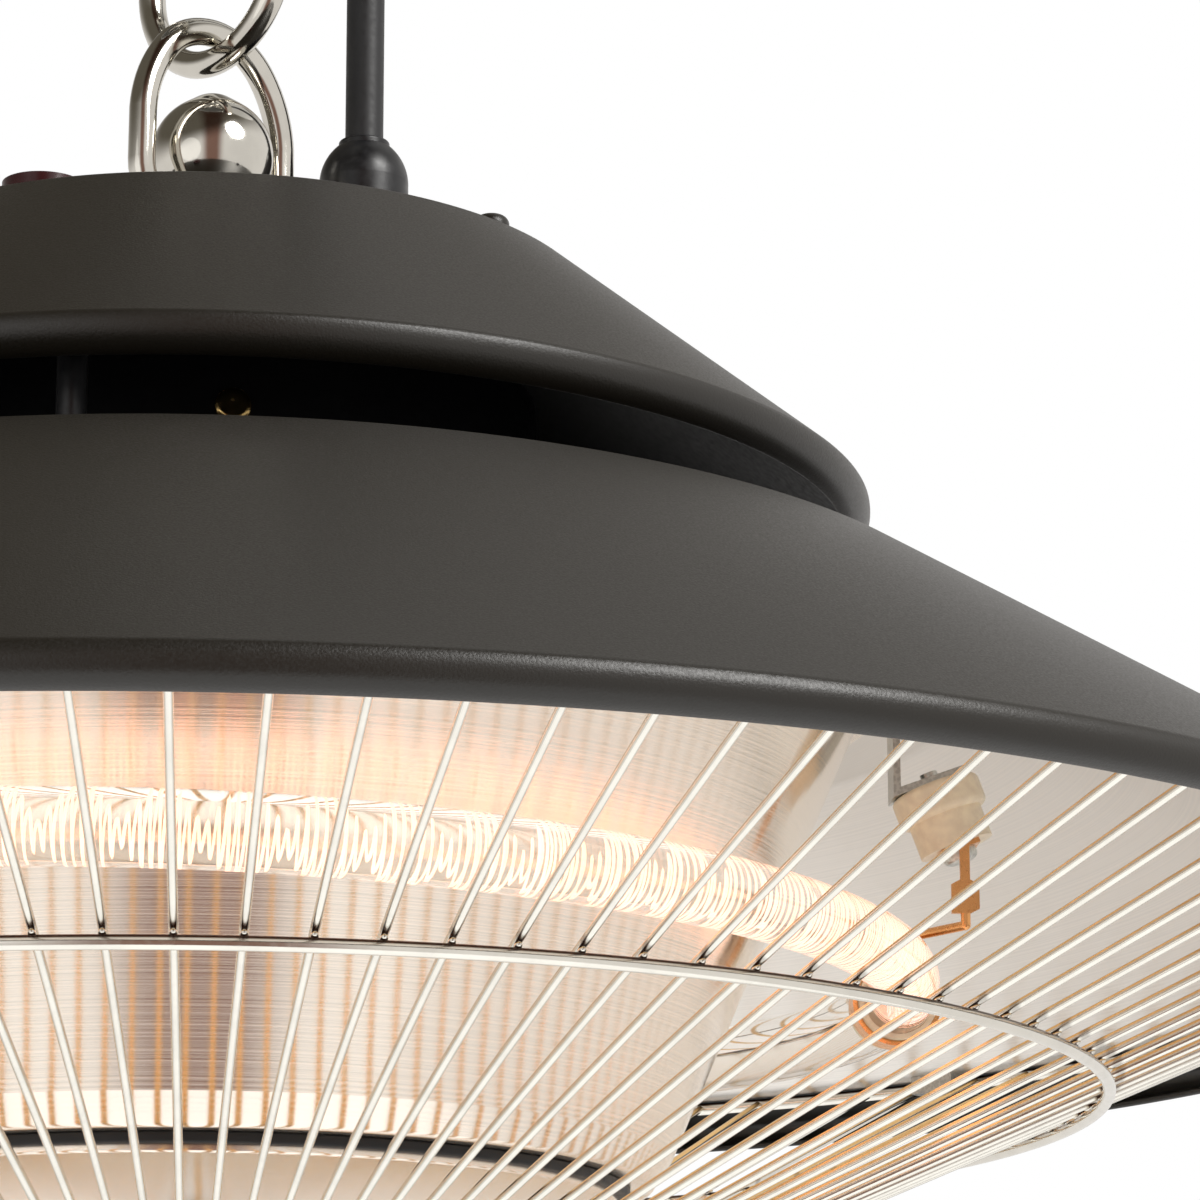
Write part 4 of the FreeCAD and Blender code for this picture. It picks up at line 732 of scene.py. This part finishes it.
# The lamp's ring leans a little. Its tube runs between two directions, in degrees.
LAMP_RING, LAMP_UP, LAMP_TILT = 114.515, 3.2, 1.6
LAMP_MIDDLE = Matrix.Translation((0, 0, RIM + LAMP_UP * MM))
LAMP_LEAN = LAMP_MIDDLE @ Matrix.Rotation(math.radians(LAMP_TILT), 4, "Y")
LAMP_FIRST, LAMP_LAST = 57.0, 363.0


def lamp_spot(angle, out, up):
    """A place on the leaning lamp, from a direction in degrees and millimetres off its middle line."""
    reach = (LAMP_RING + out) * MM
    flat = Vector((reach * math.cos(math.radians(angle)), reach * math.sin(math.radians(angle)), up * MM))
    return LAMP_LEAN @ flat


class HEATER_OT_lamp(HeaterOperator):
    """Bends the quartz tube and winds the glowing coil inside it"""

    bl_idname = "heater.lamp"
    bl_label = "Ring lamp"

    def build(self):
        self.tube()
        self.coil()
        coat("ivory_ceramic", "lamp_end_caps", "lamp_holders", "terminal_block")
        coat("copper_strip", "lamp_clips", "lamp_leads", "lamp_bands")
        coat("zinc_plate", "holder_brackets", "holder_screws")

    def tube(self):
        """Two circles spun along the lamp's ring and bridged at their ends."""
        outer, inner, steps = 5.6, 4.7, 220
        circle = {"vertices": 40, "location": (LAMP_RING * MM, 0, 0), "rotation": (math.pi / 2, 0, 0)}
        sweep = math.radians(LAMP_LAST - LAMP_FIRST)
        bpy.ops.object.select_all(action="DESELECT")
        bpy.ops.mesh.primitive_circle_add(radius=outer * MM, **circle)
        piece = begin("quartz_tube")
        bpy.ops.mesh.primitive_circle_add(radius=inner * MM, **circle)
        bpy.ops.mesh.select_all(action="SELECT")
        bpy.ops.mesh.spin(steps=steps, angle=sweep, center=(0, 0, 0), axis=(0, 0, 1))
        bpy.ops.mesh.select_all(action="DESELECT")
        bpy.ops.mesh.select_non_manifold()
        bpy.ops.mesh.bridge_edge_loops()
        close_up(piece)
        piece.data.transform(LAMP_LEAN @ Matrix.Rotation(math.radians(LAMP_FIRST), 4, "Z"))
        dress(piece, "quartz_glass", "heater", "quartz", "lamp_tube")

    def coil(self):
        """One wire wound in bulges: the coil is twisted, so it looks wide and narrow in turn."""
        end_gap, places_per_turn, least_reach, most_swell, sag = 6.0, 11, 0.7, 2.4, 0.5
        first, last = LAMP_FIRST + end_gap, LAMP_LAST - end_gap
        length = math.radians(last - first) * LAMP_RING * MM
        count = int(length / sizes().coil_pitch) * places_per_turn
        bulges = length / sizes().coil_bulge
        places = []
        for k in range(count + 1):
            angle = first + (last - first) * k / count
            reach = least_reach + most_swell * abs(math.sin(math.pi * bulges * k / count))
            wind = math.tau * k / places_per_turn
            places.append(lamp_spot(angle, reach * math.cos(wind), reach * math.sin(wind) - sag))
        wire = swept("heating_coil", places, sizes().coil_wire, False, 0)
        dress(wire, "glowing_wire", "heater", "filament", "lamp_filament")


GUARD_SLOPE = 0.43
GUARD_LEAN = math.sqrt(1 + GUARD_SLOPE**2)


def guard_height(radius):
    """Height of the middle of a guard wire."""
    over_hoop = (HOOP_HALF + SPOKE_HALF + WELD_GAP) * GUARD_LEAN
    return HOOP_UP + over_hoop + GUARD_SLOPE * (radius - HOOP_RADIUS)


class HEATER_OT_guard(HeaterOperator):
    """Welds the wire guard: rings, radial wires and hub"""

    bl_idname = "heater.guard"
    bl_label = "Wire guard"

    def build(self):
        rim_radius, rim_up, rim_half = 203.8, 7.7, 1.25
        self.ring("guard_hoop", HOOP_RADIUS, HOOP_UP, HOOP_HALF, "guard_ring")
        self.ring("guard_rim_hoop", rim_radius, rim_up, rim_half, "guard_outer_ring")
        self.wires()
        self.hub()
        coat("zinc_plate", "guard_clips", "guard_clip_screws")

    def hub(self):
        """The pressed boss under the inner ends of the wires."""
        radius, thick = 31.0, 1.5
        under = (SPOKE_HALF + WELD_GAP) * GUARD_LEAN
        inner, outer = guard_height(0.0) - under, guard_height(radius) - under
        profile = [
            (0.0, inner), (0.0, inner - thick), (radius - 0.4, outer - thick - 0.2),
            (radius, outer - 1.1), (radius, outer - 0.3), (radius - 0.3, outer - 0.1),
        ]
        dress(turned("guard_boss", profile, 120), "guard_plating", "heater", "guard", "guard_hub")

    def ring(self, name, radius, height, half, solid):
        bpy.ops.object.select_all(action="DESELECT")
        bpy.ops.mesh.primitive_torus_add(
            location=at(0, height), major_radius=radius * MM, minor_radius=half * MM,
            major_segments=400, minor_segments=18,
        )
        piece = begin(name)
        close_up(piece, 60.0)
        dress(piece, "guard_hoop_plating", "heater", "guard", solid)

    def wires(self):
        """One wire and its bead of weld on the hoop, copied round the axis."""
        count, turn = 100, math.radians(-91.2)
        inner, outer = 24.0, 202.5
        weld_half, weld_sunk, weld_shape = 0.62, 0.75, (0.8, 1.0, 1.7)
        first, last = at(inner, guard_height(inner)), at(outer, guard_height(outer))
        lying = (0, math.pi / 2 - math.atan(GUARD_SLOPE), 0)
        bpy.ops.object.select_all(action="DESELECT")
        bpy.ops.mesh.primitive_cylinder_add(
            vertices=12, radius=SPOKE_HALF * MM, depth=(last - first).length,
            location=(first + last) / 2, rotation=lying,
        )
        piece = begin("guard_spokes")
        bpy.ops.mesh.primitive_uv_sphere_add(
            segments=10, ring_count=6, radius=weld_half * MM, rotation=lying, scale=weld_shape,
            location=at(HOOP_RADIUS, guard_height(HOOP_RADIUS) - weld_sunk),
        )
        bpy.ops.mesh.select_all(action="SELECT")
        bpy.ops.transform.rotate(value=-turn, orient_axis="Z", center_override=(0, 0, 0))
        bpy.ops.mesh.select_all(action="SELECT")
        bpy.ops.mesh.spin(steps=count, angle=math.tau, center=(0, 0, 0), axis=(0, 0, 1), dupli=True)
        close_up(piece, 50.0)
        dress(piece, "guard_spoke_plating", "heater", "guard", "guard_wires")


def chain_spot(across, up, turn):
    """A place in one of the upright planes that the chain's pieces lie in."""
    return Vector((across * MM * math.cos(turn), across * MM * math.sin(turn), RIM + up * MM))


class HEATER_OT_chain(HeaterOperator):
    """Bends the hanging ring and the links, and turns the onion-headed stud"""

    bl_idname = "heater.chain"
    bl_label = "Chain and stud"
    wire = 4.7

    def build(self):
        upper_bottom, lower_bottom = 198.4, 160.4
        self.link("link_upper_wire", upper_bottom, CHAIN_TURN, "link_upper", "chain_link_upper")
        self.link("link_lower_wire", lower_bottom, CHAIN_TURN - math.pi / 2, "link_lower", "chain_link_lower")
        self.ring()
        self.stud()
        coat("nickel_chrome", "ceiling_hook")
        coat("zinc_plate", "ceiling_plate", "hook_nut")

    def ring(self):
        """The hanging ring: a straight bar, round corners, shoulders that lean in and a round top."""
        bar_half, side, corner = 3.4, 15.3, 8.5
        shoulder, shoulder_up, top, top_up, meet = 22.5, 146.5, 13.5, 151.9, 36.87
        half = (
            [(0.0, BAR_UP), (bar_half, BAR_UP)]
            + arc(side - corner, BAR_UP + corner, corner, -90, 0, 10)
            + arc(side - shoulder, shoulder_up, shoulder, 0, meet, 10)[1:]
            + arc(0.0, top_up, top, meet, 90, 12)[1:]
        )
        self.loop("hanging_ring_wire", half, CHAIN_TURN, "ring", "hanging_ring")

    def stud(self):
        """Turns the stud and drills the hole that the ring's bar lies in."""
        foot, tip_top, hole, drill_length = 88.0, 154.3, 2.5, 30.0
        shank, flange, flange_thick, neck = 4.0, 9.0, 2.0, 6.0
        ball, ball_drop, tip, crown_slope = 10.4, 11.19, 6.2, 0.643
        crown = 90 - math.degrees(math.atan(crown_slope))
        flange_top = CAP_TOP + flange_thick
        profile = (
            [(0.0, foot), (shank, foot), (shank, CAP_TOP)]
            + [(flange, CAP_TOP), (flange, flange_top), (neck, flange_top)]
            + arc(0.0, tip_top - ball_drop, ball, -math.degrees(math.acos(neck / ball)), crown, 20)
            + arc(0.0, tip_top - tip, tip, crown, 90, 8)
        )
        piece = turned("stud_body", profile, 96)
        bpy.ops.mesh.primitive_cylinder_add(
            vertices=48, radius=hole * MM, depth=drill_length * MM, location=at(0.0, BAR_UP),
            rotation=(math.pi / 2, 0, CHAIN_TURN + math.pi / 2),
        )
        drill = bpy.context.object
        cut = piece.modifiers.new("cross_hole", "BOOLEAN")
        cut.object = drill
        bpy.context.view_layer.objects.active = piece
        bpy.ops.object.modifier_apply(modifier=cut.name)
        bpy.data.objects.remove(drill)
        dress(piece, "nickel_chrome", "heater", "chrome", "hanging_stud")

    def link(self, name, bottom, turn, body, solid):
        """An oval link, standing on its bottom."""
        bend, straight = 17.0, 9.0
        low, high = bottom + bend, bottom + bend + straight
        half = arc(0.0, low, bend, -90, 0, 18) + arc(0.0, high, bend, 0, 90, 18)
        self.loop(name, half, turn, body, solid)

    def loop(self, name, half, turn, body, solid):
        """A closed wire from the right half of its path."""
        whole = half + [(-across, up) for across, up in reversed(half[1:-1])]
        places = [chain_spot(across, up, turn) for across, up in whole]
        dress(swept(name, places, self.wire * MM, True, 7), "nickel_chrome", body, "chrome", solid)


CORD_ACROSS, CORD_ALONG, CORD_THICK = 26.2, 14.0, 6.6
CEILING = -RIM / MM
# Each stretch of the cord: its lower and upper body, its two ends, and where it bends from one to the other.
CORD_PIECES = (
    ("cord_at_heater", "heater", "ring", 109.03, 166.0, 153.0, 166.0),
    ("cord_at_ring", "ring", "link_lower", 166.0, 206.0, 168.0, 204.0),
    ("cord_at_lower_link", "link_lower", "link_upper", 206.0, 246.0, 208.0, 244.0),
    ("cord_at_ceiling", "link_upper", "ceiling", 246.0, CEILING, 248.0, 276.0),
)


def smooth_line(controls):
    """Places along a smooth spline that has the given control places."""
    curve = bpy.data.curves.new("route", "CURVE")
    curve.dimensions = "3D"
    spline = curve.splines.new("NURBS")
    spline.points.add(len(controls) - 1)
    for point, place in zip(spline.points, controls):
        point.co = (*place, 1.0)
    spline.order_u = 3
    spline.use_endpoint_u = True
    spline.resolution_u = 10
    holder = bpy.data.objects.new("route", curve)
    line = bpy.data.meshes.new_from_object(holder)
    places = [vertex.co.copy() for vertex in line.vertices]
    bpy.data.meshes.remove(line)
    bpy.data.objects.remove(holder)
    bpy.data.curves.remove(curve)
    return places


class HEATER_OT_cord(HeaterOperator):
    """Runs the mains cord from its gland to the ceiling"""

    bl_idname = "heater.cord"
    bl_label = "Mains cord"

    def build(self):
        coat("black_nylon", "cable_gland", "gland_nut", "gland_locknut")
        coat("soft_rubber", "cord_bush")
        for stretch in CORD_PIECES:
            self.stretch(*stretch)

    def stretch(self, name, lower, upper, low, high, bend_low, bend_high):
        """One straight stretch of the cord, from its low end to its high end."""
        heights = [low, (2 * low + high) / 3, (low + 2 * high) / 3, high]
        places = smooth_line([at(CORD_ACROSS, height, CORD_ALONG) for height in heights])
        piece = swept(name, places, CORD_THICK * MM, False, 7)
        piece.data.materials.append(finish("soft_rubber"))
        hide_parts("power_cord")
        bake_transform(piece)


class HEATER_OT_fittings(HeaterOperator):
    """Gives the small fittings their finishes and turns the signal lens"""

    bl_idname = "heater.fittings"
    bl_label = "Fittings"

    def build(self):
        coat(
            "zinc_plate", "stud_washer", "stud_nut", "housing_upper_nut", "housing_lower_nut", "cap_bridge",
            "cover_bar", "housing_flange_screws", "reflector_spacers", "cover_screw",
        )
        coat("bronze_powder_coat", "cap_screws")
        self.lens()

    def lens(self):
        """A shallow dome whose foot is sunk in the cap."""
        x, y, foot, radius, dome, dome_up, edge = -26.5, -47.0, 117.0, 6.5, 21.4, 100.3, 72.3
        profile = [(0.0, foot)] + arc(0.0, dome_up, dome, 90, edge, 8) + [(radius, foot)]
        piece = turned("signal_lens", profile, 64, x, y)
        dress(piece, "lens_plastic", "heater", "red_lens", "indicator_lens")


class HEATER_OT_stage(HeaterOperator):
    """Sets the camera, the lights, the white surroundings and the floor"""

    bl_idname = "heater.stage"
    bl_label = "Stage"

    def build(self):
        self.camera()
        self.surroundings()
        self.light("key", (1.39, -1.32, 1.24), 1.3, 46.0, (1.0, 0.99, 0.97))
        self.light("fill", (-1.6, -1.8, -0.2), 1.8, 3.0, (1.0, 1.0, 1.0))
        self.light("top", (0.6, 0.6, 1.8), 1.6, 3.0, (1.0, 1.0, 1.0))
        self.floor()
        bpy.context.scene.view_settings.view_transform = "Standard"

    def floor(self):
        """A pale floor well below the heater, a little brighter in mirrors."""
        width, height, mirrored_glow = 4.0, -2.4, 0.5
        bpy.ops.object.select_all(action="DESELECT")
        bpy.ops.mesh.primitive_plane_add(size=width, location=(0, 0, height))
        floor = bpy.context.object
        floor.name = "floor"
        material, tree, shader = new_material("pale_floor", (0.86, 0.86, 0.85), Roughness=0.8)
        path = node(tree, "ShaderNodeLightPath")
        glow = maths(tree, "MULTIPLY", path.outputs["Is Glossy Ray"], mirrored_glow)
        tree.links.new(glow, shader.inputs["Emission Strength"])
        floor.data.materials.append(material)

    def camera(self):
        """The camera that was fitted to the photograph, turned by angles in radians."""
        yaw, pitch, roll = 0.0883, 0.2543, -0.0025
        behind, below = 743.15, 126.95
        ahead = Vector((math.sin(yaw) * math.cos(pitch), math.cos(yaw) * math.cos(pitch), math.sin(pitch)))
        right = Vector((math.cos(yaw), -math.sin(yaw), 0.0))
        up = right.cross(ahead)
        turned_right = right * math.cos(roll) + up * math.sin(roll)
        turned_up = up * math.cos(roll) - right * math.sin(roll)
        lens = bpy.data.cameras.new("camera")
        lens.sensor_width = 36.0
        lens.lens = 138.839
        lens.clip_start = 0.02
        camera = bpy.data.objects.new("camera", lens)
        bpy.context.scene.collection.objects.link(camera)
        place = at(0.0, -below, -behind)
        turn = Matrix((turned_right, turned_up, -ahead)).transposed()
        camera.matrix_world = Matrix.Translation(place) @ turn.to_4x4()
        bpy.context.scene.camera = camera

    def surroundings(self):
        """A white studio. Only mirrors see its walls, the dark strip behind the camera and the ceiling."""
        white, walls = (1.0, 1.0, 1.0, 1.0), (0.88, 0.86, 0.84, 1.0)
        strip, strip_edge = (0.25, 0.145, 0.115, 1.0), (0.12, 0.40)
        ceiling, ceiling_edge, ceiling_lean = (0.14, 0.128, 0.104, 1.0), (0.25, 0.75), (-0.32, 0.0, 1.0)
        soft_light = 0.72
        world = bpy.data.worlds.new("white_studio")
        bpy.context.scene.world = world
        world.use_nodes = True
        tree = world.node_tree
        background = tree.nodes["Background"]
        path = node(tree, "ShaderNodeLightPath")
        mirrored = path.outputs["Is Glossy Ray"]
        seen = maths(tree, "MAXIMUM", path.outputs["Is Camera Ray"], path.outputs["Is Transmission Ray"])
        full = maths(tree, "MAXIMUM", seen, mirrored)
        strength = mapped(tree, full, (0.0, 1.0), (soft_light, 1.0), "LINEAR")
        direction = node(tree, "ShaderNodeTexCoord").outputs["Generated"]
        split = node(tree, "ShaderNodeSeparateXYZ")
        tree.links.new(direction, split.inputs["Vector"])
        behind = maths(tree, "LESS_THAN", split.outputs["Y"], 0.0)
        middle = mapped(tree, maths(tree, "ABSOLUTE", split.outputs["X"]), strip_edge, (1.0, 0.0))
        around = blended(tree, maths(tree, "MULTIPLY", behind, middle), walls, strip)
        leaning = node(tree, "ShaderNodeVectorMath", operation="DOT_PRODUCT")
        leaning.inputs[1].default_value = ceiling_lean
        tree.links.new(direction, leaning.inputs[0])
        above = mapped(tree, leaning.outputs["Value"], ceiling_edge)
        room = blended(tree, above, around, ceiling, "MULTIPLY")
        tree.links.new(blended(tree, mirrored, white, room), background.inputs["Color"])
        tree.links.new(strength, background.inputs["Strength"])

    def light(self, name, place, size, power, colour):
        """A round soft light, aimed at the heater."""
        target = Vector((0, 0, -0.2))
        lamp = bpy.data.lights.new(name, "AREA")
        lamp.shape = "DISK"
        lamp.size = size
        lamp.energy = power
        lamp.color = colour
        holder = bpy.data.objects.new(name, lamp)
        bpy.context.scene.collection.objects.link(holder)
        holder.location = place
        aim = target - Vector(place)
        holder.rotation_euler = aim.to_track_quat("-Z", "Y").to_euler()


PIECES = (
    HEATER_OT_stage,
    HEATER_OT_cord,
    HEATER_OT_shades,
    HEATER_OT_housing,
    HEATER_OT_reflectors,
    HEATER_OT_lamp,
    HEATER_OT_guard,
    HEATER_OT_chain,
    HEATER_OT_fittings,
)


class HEATER_PT_panel(bpy.types.Panel):
    """Lists the makers of the heater's pieces"""

    bl_idname = "HEATER_PT_panel"
    bl_label = "Hanging patio heater"
    bl_space_type = "VIEW_3D"
    bl_region_type = "UI"
    bl_category = "Heater"

    def draw(self, context):
        for piece in PIECES:
            self.layout.operator(piece.bl_idname)


CLASSES = (HeaterSizes, HeaterColours, *PIECES, HEATER_PT_panel)


def register():
    for kind in CLASSES:
        bpy.utils.register_class(kind)
    bpy.types.Scene.heater_sizes = PointerProperty(type=HeaterSizes)
    bpy.types.Scene.heater_colours = PointerProperty(type=HeaterColours)


def unregister():
    del bpy.types.Scene.heater_colours
    del bpy.types.Scene.heater_sizes
    for kind in reversed(CLASSES):
        bpy.utils.unregister_class(kind)


def main():
    register()
    for piece in PIECES:
        group, name = piece.bl_idname.split(".")
        getattr(getattr(bpy.ops, group), name)()


if __name__ == "__main__":
    main()
